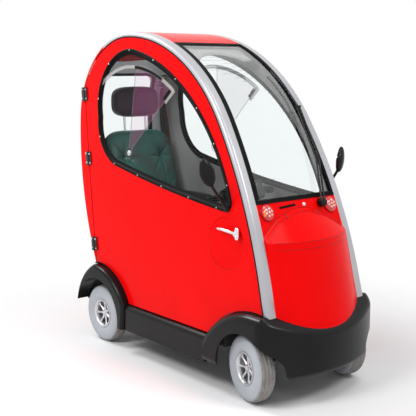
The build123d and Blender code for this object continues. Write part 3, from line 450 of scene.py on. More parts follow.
def makeGlass(name):  # clear sheet: light rays pass straight through so that the cabin is lit
    material, tree, shader = newMaterial(name, {
        "Base Color": glassLook["tint"], "Roughness": glassLook["rough"], "IOR": glassLook["ior"][name],
        "Transmission Weight": 1.0})
    clear = addNode(tree, "ShaderNodeBsdfTransparent", (0, -300), {"Color": glassLook["tint"]})
    path = addNode(tree, "ShaderNodeLightPath", (-400, 300))
    either = addNode(tree, "ShaderNodeMath", (-200, 300), operation="MAXIMUM")
    wire(tree, (path, "Is Shadow Ray", either, 0), (path, "Is Diffuse Ray", either, 1))
    mixSurface(tree, either, shader, clear)
    return material


finishes = {name: makeFinish(name, *spec[1:]) for name, spec in finishSpecs.items()}
slotOf = {name: spec[0] for name, spec in finishSpecs.items()}
for name in glassLook["ior"]:
    finishes[name] = makeGlass(name)
    slotOf[name] = "clear_glass"
print("finishes made:", len(finishes))

# the panels keep the CAD's form: a merged copy shades smoothly and may take a trim finish on its cabin side
shellLook = [  # finish, cabin-side finishes, crease angle in degrees, nodes
    ("redGloss", ["doorTrim"], 3.5, ["door_right", "door_left"]),
    ("redGloss", ["brownTrim", "palePaintedLight", "redTrimAndShade"], 24, ["rear_panel"]),
    ("redGloss", ["greyTrim"], 24, ["front_cowl", "roof_panel"]),
    ("redGloss", [], 14, ["bonnet"]),
    ("silverSatin", ["brownTrim"], 30, ["arches"]),
    ("blackMoulding", [], 32, ["bumper_front", "bumper_rear", "sills", "rear_fenders", "wiper", "tiller"]),
    ("blackRubberAndShade", [], 30, ["windscreen_seal", "rear_window_seal"]),
    ("screenGlass", [], 30, ["windscreen"]),
    ("clearGlass", [], 30, ["rear_window", "window_right", "window_left"]),
    ("blackSteel", [], 32, ["rear_transaxle", "knuckle_right", "knuckle_left", "tie_rod"]),
    ("headCloth", [], 30, ["headliner"]),
    ("dashTop", [], 30, ["dash"]),
]
liningLook = {"depth": 0.019, "edgeDepth": 0.008, "rearHalf": 0.236, "paleZ": 0.98, "redZ": 1.50, "weight": 70}
# the door's dish; round part of its edge a thin dark line is painted as shade
dishLook = {"centre": (0.424, 0.690), "radius": 0.118, "clear": 0.125, "from": 165, "to": 300, "line": 0.0009,
            "sink": 0.0004}
plainNodes = {
    "blackMoulding": ["tiller_base"],
    "floorMat": ["floor_pan"],
    "blackSteel": ["chassis_frame", "front_axle_beam", "seat_pedestal", "hinge_brackets",
                   "hinge_leaves_right", "hinge_leaves_left"],
    "batteryCase": ["battery_pack"],
}
for finish, names in plainNodes.items():
    for name in names:
        nodes[name].data.materials.clear()
        nodes[name].data.materials.append(finishes[finish])


def pieceName(node):
    words = node.split("_")
    return words[0] + "".join(word.capitalize() for word in words[1:])


def liningIndex(node, mesh, trims):  # which finish each face takes, by how deep it lies inside the cabin's skin
    k = liningLook
    x, y, z = faceCentres(mesh).T
    depth = np.minimum(flankY(z) - np.abs(y), outlineDepth(x, z))
    index = (depth > k["depth"]).astype(np.int32)
    if node.startswith("door"):  # the cut edges of a door are lined as well, but not its dish
        dishX, dishZ = dishLook["centre"]
        index |= (depth > k["edgeDepth"]) & (np.hypot(x - dishX, z - dishZ) > dishLook["clear"])
    if len(trims) > 1:  # red under the crown and pale round the rear window, the pale painted as the light of the window, between brown sides
        index *= 1 + (np.abs(y) < k["rearHalf"]) * ((z > k["paleZ"]).astype(int) + (z > k["redZ"]))
    return index


def dressShell(node, finish, trims, crease):
    mesh = nodes[node].data.copy()
    mesh.materials.clear()
    cleanMesh(mesh, crease, recalc=False)
    piece = dressPiece(pieceName(node) + "Shell", mesh, finish, nodes[node]["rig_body"], [node])
    for trim in trims:
        mesh.materials.append(finishes[trim])
    if trims:
        mesh.polygons.foreach_set("material_index", liningIndex(node, mesh, trims))
    modifier = piece.modifiers.new("evenNormals", "WEIGHTED_NORMAL")  # long panels shade without streaks
    modifier.keep_sharp = True
    modifier.weight = liningLook["weight"]


for finish, trims, crease, names in shellLook:
    for name in names:
        dressShell(name, finish, trims, crease)
print("panels dressed")

# wheels: the tread and side wall are one surface of angle and profile, the rim is turned with cast spokes
wheelLook = {
    "radius": 0.1525, "half": 0.042, "beadR": 0.0749, "around": 368, "across": 62,
    "treadDepth": 0.0042, "treadR": 0.128, "teeth": 46, "crownDepth": 0.0085, "crownHalf": 0.034,
    "grooves": ((-0.018, 0.0022, 0.005), (0.0, 0.0024, 0.006), (0.018, 0.0022, 0.005)),  # middle, width, zigzag
    "shoulder": (0.0325, 0.006, 0.0012, 0.0028, 0.8),  # cut's middle, zigzag, start and end of its wall, depth
    "ribs": ((0.0009, 0.099, 0.0022), (0.0007, 0.088, 0.0016)),  # rings on the side wall: height, radius, width
}


def wheelFrames():
    joints = {j["name"]: j for j in frame["joints"]}
    for end in ("front", "rear"):
        for side in sides:
            joint = joints[f"wheel_{end}_{side}_spin"]
            out = np.array(joint["axis"], float) * sides[side]
            yield f"{end}_{side}", np.array(joint["pos_m"], float), out / np.linalg.norm(out)


# tyre section: side walls, shoulders and tread as (distance from the middle, radius), evenly sampled
def tyreSection():
    r, h, bead = wheelLook["radius"], wheelLook["half"], wheelLook["beadR"]
    half = np.array([(0, r), (0.012, r - 0.0003), (h - 0.022, r - 0.0012), (h - 0.013, r - 0.0042),
                     (h - 0.006, r - 0.011), (h - 0.002, r - 0.022), (h, r - 0.038), (h - 0.0008, r - 0.052),
                     (h - 0.003, bead + 0.012), (h - 0.006, bead + 0.004), (h - 0.0085, bead)])
    full = np.concatenate([half[::-1] * [-1, 1], half[1:]])
    return evenPath(full[:, 0], full[:, 1], wheelLook["across"])


def makeTyre(name, centre, out):
    w = wheelLook
    a, b, d = axes(out)
    y, r = tyreSection()
    turn, y2 = np.meshgrid(np.linspace(0, 2 * pi, w["around"], endpoint=False), y, indexing="ij")
    saw = 2 * np.abs((turn * w["teeth"] / (2 * pi)) % 1 - 0.5) - 0.5  # zigzag between -0.5 and 0.5
    cut = np.zeros_like(y2)
    for middle, width, reach in w["grooves"]:
        cut = np.maximum(cut, 1 - smoothStep(width * 0.6, width * 1.3, np.abs(y2 - middle - reach * saw)))
    middle, reach, start, end, depth = w["shoulder"]
    edge = np.abs(np.abs(y2) - middle - reach * saw)
    cut = np.maximum(cut, depth * (1 - smoothStep(start, end, edge)))
    ribs = sum(height * np.exp(-((r[None] - place) / width) ** 2) for height, place, width in w["ribs"])
    rise = r[None] - w["treadDepth"] * cut * (r[None] > w["treadR"])
    shift = y2 + np.sign(y2) * ribs
    ring = a * np.cos(turn)[..., None] + b * np.sin(turn)[..., None]
    points = centre + rise[..., None] * ring + shift[..., None] * d
    faces = gridQuads(w["around"], len(y), closeRows=True, closeCols=True)
    piece = makePiece(f"tyre_{name}_tread", [(points, faces)], "greyTyre", f"wheel_{name}", 50, [f"tyre_{name}"])
    # faces on the crown of the tread, all round, take the darker, warmer tread finish
    piece.data.materials.append(finishes["tyreTread"])
    arm = faceCentres(piece.data) - centre
    spread = np.linalg.norm(arm - (arm @ d)[:, None] * d, axis=1)
    treadCrown = (spread > w["radius"] - w["crownDepth"]) & (np.abs(arm @ d) < w["crownHalf"])
    piece.data.polygons.foreach_set("material_index", treadCrown.astype(np.int32))


rimLook = {  # heights are below the wheel's outer face, radii from its axle
    "well": [(0.0610, 0.0250), (0.0635, 0.0095), (0.0660, 0.0060), (0.0700, 0.0030), (0.0735, 0.0035),
             (0.0746, 0.0065), (0.0746, 0.076), (0.0725, 0.0775), (0.0640, 0.074), (0.0625, 0.042)],
    "hub": [(0.010, 0.0135), (0.0125, 0.0155), (0.0128, 0.019), (0.019, 0.0205), (0.0205, 0.023), (0.0205, 0.052)],
    "spokes": 7, "spokeFrom": 0.016, "spokeTo": 0.0625, "ribHeight": 0.0035,
    "spokeHalf": 0.0068, "spokeNarrow": 0.0022, "spokeFlare": 0.0030, "spokeDeep": 0.0225, "spokeRise": 0.0050,
    "ribSection": [(-1, 0), (-0.55, 1), (0.55, 1), (1, 0), (0.7, -2.2), (-0.7, -2.2)],  # across, up
    "nuts": 4, "nutRing": 0.0155, "nut": [(0.0028, 0.021), (0.0028, 0.0165), (0.0018, 0.0155)],
    "valveRing": 0.056, "valve": [(0.0022, 0.030), (0.0022, 0.010), (0.0014, 0.007)],
}


def makeRim(name, centre, out):
    k = rimLook
    a, b, d = axes(out)
    face = wheelLook["half"]
    well, hub, nut, valve = (np.array(k[part]) * [1, -1] + [0, face] for part in ("well", "hub", "nut", "valve"))
    parts = [(spinProfile(well, centre, out, 72), gridQuads(len(well), 72, closeRows=True, closeCols=True)),
             lathe(hub, centre, out, 40)]
    along = np.linspace(k["spokeFrom"], k["spokeTo"], 9)
    wide = (k["spokeHalf"] - k["spokeNarrow"] * smoothStep(k["spokeFrom"], 0.040, along)
            + k["spokeFlare"] * smoothStep(0.050, k["spokeTo"], along))
    deep = face - k["spokeDeep"] + k["spokeRise"] * smoothStep(0.025, k["spokeTo"], along)
    rib = np.array(k["ribSection"])
    for angle in 2 * pi * (np.arange(k["spokes"]) + 0.25) / k["spokes"]:
        ray = a * cos(angle) + b * sin(angle)
        cross = np.cross(d, ray)
        points = (centre + along[:, None, None] * ray + wide[:, None, None] * rib[None, :, :1] * cross
                  + (deep[:, None, None] + k["ribHeight"] * rib[None, :, 1:]) * d)
        parts.append((points, barrelFaces(len(along), len(rib))))
    for angle in 2 * pi * (np.arange(k["nuts"]) + 0.5) / k["nuts"]:
        parts.append(lathe(nut, centre + k["nutRing"] * (a * cos(angle) + b * sin(angle)), out, 6))
    parts.append(lathe(valve, centre + k["valveRing"] * a, out, 10))
    makePiece(f"rim_{name}_cast", parts, "alloy", f"wheel_{name}", 35, [f"rim_{name}"])


for wheelName, wheelCentre, wheelOut in wheelFrames():
    makeTyre(wheelName, wheelCentre, wheelOut)
    makeRim(wheelName, wheelCentre, wheelOut)
print("wheels made")

# rubber welts in the seam between each rear mudguard and the door above it
weltLook = {"lead": -0.034, "z": 0.110, "radius": 0.3095, "from": 22, "to": 99, "half": 0.0135, "flat": 0.31,
            "y": 0.3005, "points": 60}
weltAngle = np.radians(np.linspace(weltLook["from"], weltLook["to"], weltLook["points"]))
welts = []
for side, sign in sides.items():
    axleX = sum(bound[0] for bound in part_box(f"tyre_rear_{side}")) / 2
    x = axleX + weltLook["lead"] + weltLook["radius"] * np.cos(weltAngle)
    z = weltLook["z"] + weltLook["radius"] * np.sin(weltAngle)
    path = np.stack([x, np.full_like(x, sign * weltLook["y"]), z], -1)
    welts.append(tube(path, weltLook["half"], count=16, squash=weltLook["flat"]))
makePiece("mudguardWelts", welts, "blackRubberAndShade", "cabin", 60)

# rubber beads along both edges of the silver arches
beadLook = {"lowZ": 0.405,  # then inset from the outline, sunk in or set in from the side, radius, end angle, drop
            "door": (0.0250, 0.0006, 0.0036, 126, 0.004), "roof": (0.0056, 0.0505, 0.0055, 121, 0.0)}
for side, sign in sides.items():
    beads = []
    for inset, sink, radius, endAngle, drop in (beadLook["door"], beadLook["roof"]):
        x, z = outlinePath(inset, beadLook["lowZ"] - drop, endAngle)
        beads.append(tube(onFlank(x, z, sign, -sink), radius))
    makePiece(f"archBeads{side.capitalize()}", beads, "blackRubberAndShade", "cabin", 60)
print("arch beads made")

# dark border on the windscreen's edges: a thin strip on the glass beside each arch
borderLook = {"from": 0.0672, "to": 0.0800, "inset": 0.0026, "lowZ": 0.890, "rearX": -0.046, "count": 120}
borderX, borderZ = outlinePath(borderLook["inset"], beadLook["lowZ"], 91, 600)
keep = (borderX > borderLook["rearX"]) & (borderZ > borderLook["lowZ"])
borderX, borderZ = evenPath(borderX[keep], borderZ[keep], borderLook["count"])
for side, sign in sides.items():
    across, x = np.meshgrid(np.linspace(borderLook["from"], borderLook["to"], 4), borderX)
    strip = onFlank(x, np.repeat(borderZ[:, None], 4, 1), sign, -across)
    makePiece(f"screenBorder{side.capitalize()}", [(strip, gridQuads(len(borderX), 4))], "blackRubberAndShade", "cabin", 60)
print("screen borders made")

# window gaskets: a rounded rubber section carried round the window's outline, with screw heads on it
gasketLook = {
    "beltZ": 0.829, "hingeX": -0.644, "hingeZ": 0.524, "hingeLean": -0.151, "points": 300,
    "corner": (0.098, 0.051), "toe": 0.173, "toeBend": (0.045, 0.017),  # back from the front wall, up from the belt
    "hip": 0.119, "haunch": (0.135, 0.61), "heel": (0.241, 0.36), "sag": 0.145,  # ahead of the hinges, share of rise
    "brow": (51.4, -0.105), "shoulder": (86.3, -0.083), "crown": (127, -0.122),  # angle and inset on the roof's arcs
    "section": [(0.0003, -0.022), (0.0003, 0.0010), (0.0018, 0.0028), (0.0055, 0.0038), (0.0105, 0.0036),
                (0.0142, 0.0012), (0.0160, -0.0040), (0.0185, -0.0066), (0.0300, -0.0070), (0.0310, -0.0078),
                (0.0157, -0.0079), (0.0157, -0.022)],  # inward from the opening, outward; the last lies on the glass
    "screws": 14, "firstScrew": 8, "screwIn": 0.008, "screwOut": 0.0030, "screw": (0.0038, 0.0022),
}


def hingeAt(z):  # the hinge line at a height
    return gasketLook["hingeX"] + gasketLook["hingeLean"] * (z - gasketLook["hingeZ"])


def windowPath(count):  # five arcs between the window's corners, as the opening is cut
    g = gasketLook
    low, top = g["beltZ"], cabin["crownZ"]
    drop = top - low
    corner = (float(frontX(low + g["corner"][1])) - g["corner"][0], low + g["corner"][1])
    toe = (float(frontX(low)) - g["toe"], low)
    hip = (hingeAt(top) + g["hip"], top)
    haunch, heel = ((hingeAt(low + share * drop) + lead, low + share * drop)
                    for lead, share in (g["haunch"], g["heel"]))
    belt = ((heel[0] + toe[0]) / 2, low + g["sag"] * drop)
    brow, shoulder = (tuple(map(float, roofPoint(*g[spot]))) for spot in ("brow", "shoulder"))
    crown = tuple(map(float, crownPoint(*g["crown"])))
    bend = (toe[0] + g["toeBend"][0], low + g["toeBend"][1])
    arcs = [arcThrough(corner, brow, shoulder, 60), arcThrough(shoulder, crown, hip, 50),
            arcThrough(hip, haunch, heel, 40), arcThrough(heel, belt, toe, 50), arcThrough(toe, bend, corner, 16)]
    x, z = (np.concatenate([arc[k][:-1] for arc in arcs]) for k in (0, 1))
    return evenPath(x, z, count, closed=True)


windowX, windowZ = windowPath(gasketLook["points"])
runX, runZ = np.roll(windowX, -2) - np.roll(windowX, 2), np.roll(windowZ, -2) - np.roll(windowZ, 2)
runLength = np.hypot(runX, runZ)
inX, inZ = -runZ / runLength, runX / runLength  # square to the outline, and turned to point into the window
if np.mean(inX * (np.mean(windowX) - windowX)) < 0:
    inX, inZ = -inX, -inZ
for side, sign in sides.items():
    g, door, tag = gasketLook, f"door_{side}", side.capitalize()
    inward, outward = np.array(g["section"]).T
    x, z = windowX[:, None] + inX[:, None] * inward, windowZ[:, None] + inZ[:, None] * inward
    faces = gridQuads(len(windowX), len(inward), closeRows=True, closeCols=True)
    ring = onFlank(x, z, sign, outward)
    makePiece(f"windowGasket{tag}", [(ring, faces)], "blackRubberAndShade", door, 50, [f"window_seal_{side}"])
    spots = (np.linspace(0, g["points"], g["screws"], endpoint=False).astype(int) + g["firstScrew"]) % g["points"]
    places = onFlank(windowX[spots] + g["screwIn"] * inX[spots], windowZ[spots] + g["screwIn"] * inZ[spots],
                     sign, g["screwOut"])
    heads = [dome(place, (0, sign, 0), *g["screw"], 12) for place in places]
    makePiece(f"gasketScrews{tag}", heads, "alloy", door, 40)
print("gaskets made")

# swivel vents in the side windows: a clear fan on a pivot, a rim with a black slot in it and a latch
ventLook = {
    "pivot": (-0.346, 1.034), "start": 84.5, "end": 43.0, "reach": 0.428, "rimEnd": 127.0, "slotEnd": 55.0,
    "boss": 0.026, "thick": 0.003, "inset": 0.008, "inner": -0.004, "outer": 0.014,  # the rim's edges from its reach
    "flare": (0.041, 85, 42), "flareFrom": 0.30, "flareTo": 0.42, "line": 0.0012, "lineOut": 0.0026, "rimOut": 0.0045,
    "washer": [(0.014, -0.002), (0.014, 0.0035), (0.0125, 0.0048), (0.0085, 0.0052), (0.0080, 0.0064),
               (0.004, 0.0076), (0.0008, 0.0078)],
}
ventReach, ventEnd = ventLook["reach"], ventLook["end"]
ventInner, ventOuter = ventReach + ventLook["inner"], ventReach + ventLook["outer"]
ventSheets = {  # reach from and to, angle from and to, bottom and top above the glass, rows and columns
    "fan": (ventLook["boss"], ventReach - 0.005, ventEnd, ventLook["start"], 0.0006, ventLook["thick"], 10, 60),
    "rim": (ventInner, ventOuter, ventEnd, ventLook["rimEnd"], 0.0006, 0.005, 3, 90),
    "leg": (ventReach - 0.060, ventOuter, ventEnd - 2.2, ventEnd, 0.0006, 0.005, 14, 4),
    "slot": (ventReach - 0.0025, ventReach + 0.0115, ventLook["slotEnd"], ventLook["start"] + 1,
             0.0015, 0.0058, 3, 50),
    "latch": (ventReach - 0.056, ventReach - 0.010, ventEnd + 0.1, ventEnd + 2.2, 0.0015, 0.0085, 8, 4),
}


def ventPoint(reach, angle, proud, sign):  # by reach and angle from the pivot; the rim flares towards the latch
    v = ventLook
    most, first, span = v["flare"]
    flare = most * np.clip((first - np.asarray(angle, float)) / span, 0, 1) ** 2
    reach = reach + flare * smoothStep(v["flareFrom"], v["flareTo"], np.asarray(reach, float))
    x = v["pivot"][0] + reach * np.cos(np.radians(angle))
    return onFlank(x, v["pivot"][1] + reach * np.sin(np.radians(angle)), sign, proud - v["inset"])


def ventSheet(sign, low, high, first, last, bottom, top, rows, cols):  # a curved sheet with thickness
    reach, angle = np.meshgrid(np.linspace(low, high, rows), np.linspace(first, last, cols), indexing="ij")
    points = np.stack([ventPoint(reach, angle, proud, sign) for proud in (top, bottom)])
    n = rows * cols
    edge = np.concatenate([np.arange(cols), np.arange(1, rows) * cols + cols - 1, n - 2 - np.arange(cols - 1),
                           (np.arange(rows - 2, 0, -1)) * cols])
    walls = np.stack([edge, np.roll(edge, -1), np.roll(edge, -1) + n, edge + n], -1)
    quads = gridQuads(rows, cols)
    return points, np.concatenate([quads, quads + n, walls]).tolist()


for side, sign in sides.items():
    v, door, tag = ventLook, f"door_{side}", side.capitalize()
    sheet = {part: ventSheet(sign, *spec) for part, spec in ventSheets.items()}
    makePiece(f"ventFan{tag}", [sheet["fan"]], "ventPane", door, 40)
    makePiece(f"ventRim{tag}", [sheet["rim"], sheet["leg"]], "ventRim", door, 40)
    spoke, sweep = np.linspace(v["boss"], v["reach"], 24), np.linspace(v["rimEnd"], v["end"], 90)
    paths = [ventPoint(spoke, np.full(24, angle), v["lineOut"], sign) for angle in (v["start"], v["end"])]
    paths += [ventPoint(np.full(90, reach), sweep, v["rimOut"], sign) for reach in (ventOuter, ventInner)]
    bossSweep = np.linspace(v["start"], v["end"] + 360, 36)
    paths.append(ventPoint(np.full(36, v["boss"]), bossSweep, v["lineOut"], sign))
    makePiece(f"ventEdges{tag}", [tube(path, v["line"], count=6) for path in paths], "greyTrim", door, 60)
    makePiece(f"ventSlot{tag}", [sheet["slot"], sheet["latch"]], "blackRubberAndShade", door, 30)
    washer = lathe(v["washer"], ventPoint(0.0, 0.0, 0.0, sign), (0, sign, 0), 28)
    makePiece(f"ventWasher{tag}", [washer], "alloy", door, 40)
print("vents made")

# seat back: a front and a back sheet that close on the rim, tufted by buttons with creases running from them
backLook = {
    "lowZ": 0.617, "highZ": 1.125, "halfY": 0.222, "frontLow": -0.5166, "frontHigh": -0.6505, "bow": 0.0075,
    "rearLow": -0.6495, "rearHigh": -0.7345, "rearFill": 0.97, "rows": 130, "cols": 120,
    "buttons": [(-0.124, 0.979), (0.124, 0.979), (-0.124, 0.775), (0.124, 0.775)], "button": (0.0125, 0.010),
    "pull": 0.026, "pullR": 0.034, "crease": 0.0075, "creaseW": 0.0065, "upperZ": 0.9, "creasesDeep": 3.2,
    "creases": [(-0.13, 0, 0), (0.10, 0, -0.01), (0.085, 0.11, 0), (-0.02, 0.14, 0), (-0.10, 0.12, 0),
                (0, -0.11, 0), (0.07, -0.09, 0), (-0.09, -0.10, 0)],  # outward, to the near end of the seat, up
    "pinch": 0.006, "drop": 0.045, "waist": 0.008, "shoulder": 0.030, "rimRound": 0.42,  # edges and corners
    "gather": 0.0014, "tongue": ((-0.6085, 0, 0.585), (0.0245, 0.216, 0.064), 0.25),
    "piping": 0.0035, "pipingAt": 0.985,
}


def creaseDepth(y, z, button, end):  # a groove along a line, deepest at the button and fading at its end
    by, bz = button
    dy, dz = end[0] - by, end[1] - bz
    length = np.hypot(dy, dz)
    along = ((y - by) * dy + (z - bz) * dz) / length
    off = ((y - by) * dz - (z - bz) * dy) / length
    fade = (1 - smoothStep(0.25 * length, length, along)) * (along > 0)
    return fade * np.exp(-(off / backLook["creaseW"]) ** 2)


def backOutline(u, v):  # across and up: rounded top corners, edges that pull in between them
    b = backLook
    pinch = b["pinch"] * (1 - u ** 2) * v ** 8
    drop = b["drop"] * np.abs(u) ** 6 * np.clip(v, 0, 1) ** 3
    z = b["lowZ"] + (b["highZ"] - b["lowZ"]) * (v + 1) / 2 - np.sign(v) * pinch - drop
    y = u * (b["halfY"] - b["waist"] * (1 - v ** 2) * u ** 8 - b["shoulder"] * np.clip(v, 0, 1) ** 7)
    return y, z


def backFaces(t):  # front and rear by the share of the height: straight, and the front bowed by a parabola
    b = backLook
    front = b["frontLow"] + (b["frontHigh"] - b["frontLow"]) * t + b["bow"] * 4 * t * (1 - t)
    return front, b["rearLow"] + (b["rearHigh"] - b["rearLow"]) * t


def backSink(y, z):  # what the buttons and their creases pull in
    b = backLook
    sink = np.zeros_like(y)
    for by, bz in b["buttons"]:
        sink += b["pull"] * np.exp(-(((y - by) ** 2 + (z - bz) ** 2) / b["pullR"] ** 2) ** 0.7)
        out, up = np.sign(by), 1 if bz > b["upperZ"] else -1
        for across, rise, lift in b["creases"]:
            sink += b["crease"] * creaseDepth(y, z, (by, bz), (by + out * across, bz + up * rise + lift))
    return sink


def makeSeatBack():
    b = backLook
    v, u = np.meshgrid(np.linspace(-1, 1, b["rows"]), np.linspace(-1, 1, b["cols"]), indexing="ij")
    y, z = backOutline(u, v)
    front, rear = backFaces((v + 1) / 2)
    middle, half = (front + rear) / 2, (front - rear) / 2
    rim = np.clip((1 - np.abs(u) ** 7) * (1 - np.abs(v) ** 9), 0, 1) ** b["rimRound"]
    gather = b["gather"] * (np.sin(90 * y * pi) * smoothStep(0.70, 0.97, np.abs(v))
                            + np.sin(80 * z * pi) * smoothStep(0.74, 0.97, np.abs(u)))
    quads = gridQuads(b["rows"], b["cols"])
    sheets = [(np.stack([x, y, z], -1), quads) for x in (middle + rim * (half - backSink(y, z) + gather),
                                                         middle - rim * half * b["rearFill"])]
    tongue = superPad(*b["tongue"], 24, 64)
    piece = makePiece("seatBackPad", sheets + [tongue], "backVinyl", "cabin", 60, ["seat_back"])
    heads = []
    for by, bz in b["buttons"]:
        bx = backFaces((bz - b["lowZ"]) / (b["highZ"] - b["lowZ"]))[0] - b["pull"] - b["crease"] * b["creasesDeep"]
        heads.append(dome((bx, by, bz), (1, 0, 0.26), *b["button"], 20))
    makePiece("seatButtons", heads, "seatVinyl", "cabin", 40)
    run, one = np.linspace(-1, 1, 60)[:-1], np.ones(59)
    edges = ((-one, run), (run, one), (one, -run), (-run, -one))  # once round the rim
    ru, rv = np.concatenate([np.stack(edge, -1) for edge in edges]).T * b["pipingAt"]
    path = np.stack([sum(backFaces((rv + 1) / 2)) / 2, *backOutline(ru, rv)], -1)
    piping = tube(path, b["piping"], ref=(1, 0, 0.2), count=8, closed=True)
    makePiece("seatBackPiping", [piping], "seatVinyl", "cabin", 60)


makeSeatBack()

# cushion, headrest and armrests: rounded blocks, crowned, with seams sunk round them
padLook = {  # a seam is its depth, place and width
    "cushion": {"centre": (-0.3646, 0, 0.555), "half": (0.214, 0.230, 0.055), "power": 0.30, "crown": 0.010,
                "channels": (-0.085, 0.085), "channel": 0.006, "channelW": 0.005, "seam": (0.016, 0.012, 0.0035),
                "pinch": 0.012, "settle": 0.001},
    "head": {"centre": (-0.6945, 0, 1.277), "half": (0.052, 0.144, 0.083), "power": 0.58,
             "seam": (0.03, -0.012, 0.0035), "fold": 0.0016, "swell": 0.004,
             "postY": 0.07, "postR": 0.0065, "postX": (-0.6925, -0.6985), "postZ": (1.075, 1.225),
             "collarX": -0.6943, "collarZ": 1.117, "collar": [(0.012, 0.0), (0.012, 0.006), (0.008, 0.009)]},
    "arm": {"centre": (-0.4746, 0.240, 0.755), "half": (0.144, 0.024, 0.020), "power": 0.40,
            "seam": (0.05, -0.004, 0.003), "post": (-0.5986, 0.231, 0.705), "postHalf": (0.0185, 0.0105, 0.045)},
}


def padGrid(look, rows, cols, mirror=1.0):  # a pad's middle, its points from there and its faces
    centre = np.array(look["centre"]) * (1, mirror, 1)
    points, faces = superPad(centre, look["half"], look["power"], rows, cols)
    return centre, np.moveaxis(points - centre, -1, 0), faces


def seamAt(value, depth, place, width):  # one less a bell curve round the seam
    return 1 - depth * np.exp(-((value - place) / width) ** 2)


def makeCushion():
    c = padLook["cushion"]
    centre, (x, y, z), faces = padGrid(c, 70, 220)
    a, b = x / c["half"][0], y / c["half"][1]
    top = smoothStep(0.2, 0.9, z / c["half"][2])
    crown = c["crown"] * (1 - a ** 2) * (1 - b ** 2)
    channel = sum(c["channel"] * np.exp(-((y - place) / c["channelW"]) ** 2) for place in c["channels"])
    channel = channel * (1 - np.abs(a) ** 6)
    pull = 1 - c["pinch"] * (1 - np.minimum(np.abs(a), np.abs(b)) ** 2) * (1 - top)
    shrink = seamAt(z, *c["seam"]) * pull
    points = np.stack([x * shrink, y * shrink, z + top * (crown - channel - c["settle"])], -1) + centre
    piece = makePiece("seatCushionPad", [(points, faces)], "seatVinyl", "cabin", 60, ["seat_cushion"])


def makeHeadrest():
    h = padLook["head"]
    centre, (x, y, z), faces = padGrid(h, 70, 140)
    b, c = y / h["half"][1], z / h["half"][2]
    seam = seamAt(x, *h["seam"])
    folds = h["fold"] * np.sin(55 * pi * y) * smoothStep(0.35, 0.9, np.abs(c)) * (x > 0)
    swell = h["swell"] * (1 - b ** 2) * (1 - c ** 2) * np.sign(x)
    points = np.stack([x + swell + folds, y * seam, z * seam], -1) + centre
    piece = makePiece("headrestPad", [(points, faces)], "headVinyl", "cabin", 60, ["headrest"])
    posts = []
    for sign in sides.values():
        py = sign * h["postY"]
        path = np.linspace(*((px, py, pz) for px, pz in zip(h["postX"], h["postZ"])), 8)
        posts.append(tube(path, h["postR"], ref=(1, 0, 0), count=14))
        posts.append(lathe(h["collar"], (h["collarX"], py, h["collarZ"]), (0, 0, 1), 20))
    makePiece("headrestPosts", posts, "chrome", "cabin", 40)


def makeArmrests():
    a = padLook["arm"]
    pads, posts = [], []
    for sign in sides.values():
        centre, (x, y, z), faces = padGrid(a, 30, 120, sign)
        pads.append((np.stack([x, y * seamAt(z, *a["seam"]), z], -1) + centre, faces))
        posts.append(superPad(np.array(a["post"]) * (1, sign, 1), a["postHalf"], 0.3, 16, 32))
    piece = makePiece("armrestPads", pads, "seatVinyl", "cabin", 60, ["armrests"])
    makePiece("armrestPosts", posts, "blackSteel", "cabin", 40)


makeCushion()
makeHeadrest()
makeArmrests()
print("seat made")

# head lamps: a red domed lens with clear cells, an amber cell on the outer side and a dark bezel
lampLook = {
    "place": (0.5750, 0.200, 0.833), "tilt": radians(22.1), "radius": 0.035, "rim": 0.010, "crown": 0.011,
    "ripple": 0.00035, "ripplePitch": 0.0028, "sink": 0.0005, "tip": 0.0006,
    "skirt": [(0.033, -0.021), (0.0349, -0.018), (0.0349, 0.0095)],
    "bezel": [(0.0352, 0.001), (0.0385, 0.001), (0.0392, 0.0035), (0.0378, 0.0062), (0.0352, 0.0066)],
    "ring": 0.0165, "cells": 6, "cellTurn": 0.26, "amberRing": 0.0268, "amberTurns": (-0.42, 0.12),
    "cell": (0.0058, 0.0034, 20, 0.0012, 0.25), "amber": (0.0062, 0.0036, 18, 0.0014, 0.3),  # dome, sink, lean
}


def lensHeight(r):  # the lens is a slice of a ball
    k = lampLook
    ball = (k["radius"] ** 2 + k["crown"] ** 2) / (2 * k["crown"])
    return k["rim"] + k["crown"] - ball + np.sqrt(ball ** 2 - r ** 2)


def makeLamps():
    k = lampLook
    out = np.array([cos(k["tilt"]), 0, sin(k["tilt"])])
    up = np.array([-sin(k["tilt"]), 0, cos(k["tilt"])])
    left = np.array([0.0, 1.0, 0.0])
    r = np.linspace(k["radius"] - k["tip"], k["tip"], 22)
    rings = k["ripple"] * np.cos(r / k["ripplePitch"] * 2 * pi)
    profile = np.concatenate([k["skirt"], np.stack([r, lensHeight(r) + rings - k["sink"]], -1)])
    turns = np.arange(k["cells"]) * 2 * pi / k["cells"] + k["cellTurn"]
    spots = [(0.0, 0.0)] + [(k["ring"] * cos(t), k["ring"] * sin(t)) for t in turns]
    lens, clear, amber, bezel = [], [], [], []
    for sign in sides.values():
        base = np.array(k["place"]) * (1, sign, 1)
        lens.append(lathe(profile, base, out, 72))
        bezel.append(lathe(k["bezel"], base, out, 60))
        amberSpots = [(sign * k["amberRing"] * cos(t), k["amberRing"] * sin(t)) for t in k["amberTurns"]]
        for cells, places, look in ((clear, spots, k["cell"]), (amber, amberSpots, k["amber"])):
            radius, height, count, sink, lean = look
            for cy, cu in places:
                across = left * cy + up * cu
                place = base + across + out * (lensHeight(np.hypot(cy, cu)) - sink)
                cells.append(dome(place, out + lean * across / k["radius"], radius, height, count))
    makePiece("lampLenses", lens, "lampRed", "cabin", 35, ["headlamps"])
    makePiece("lampCells", clear, "lampClear", "cabin", 50)
    makePiece("lampAmbers", amber, "lampAmber", "cabin", 50)
    makePiece("lampBezels", bezel, "redTrimAndShade", "cabin", 40)


makeLamps()

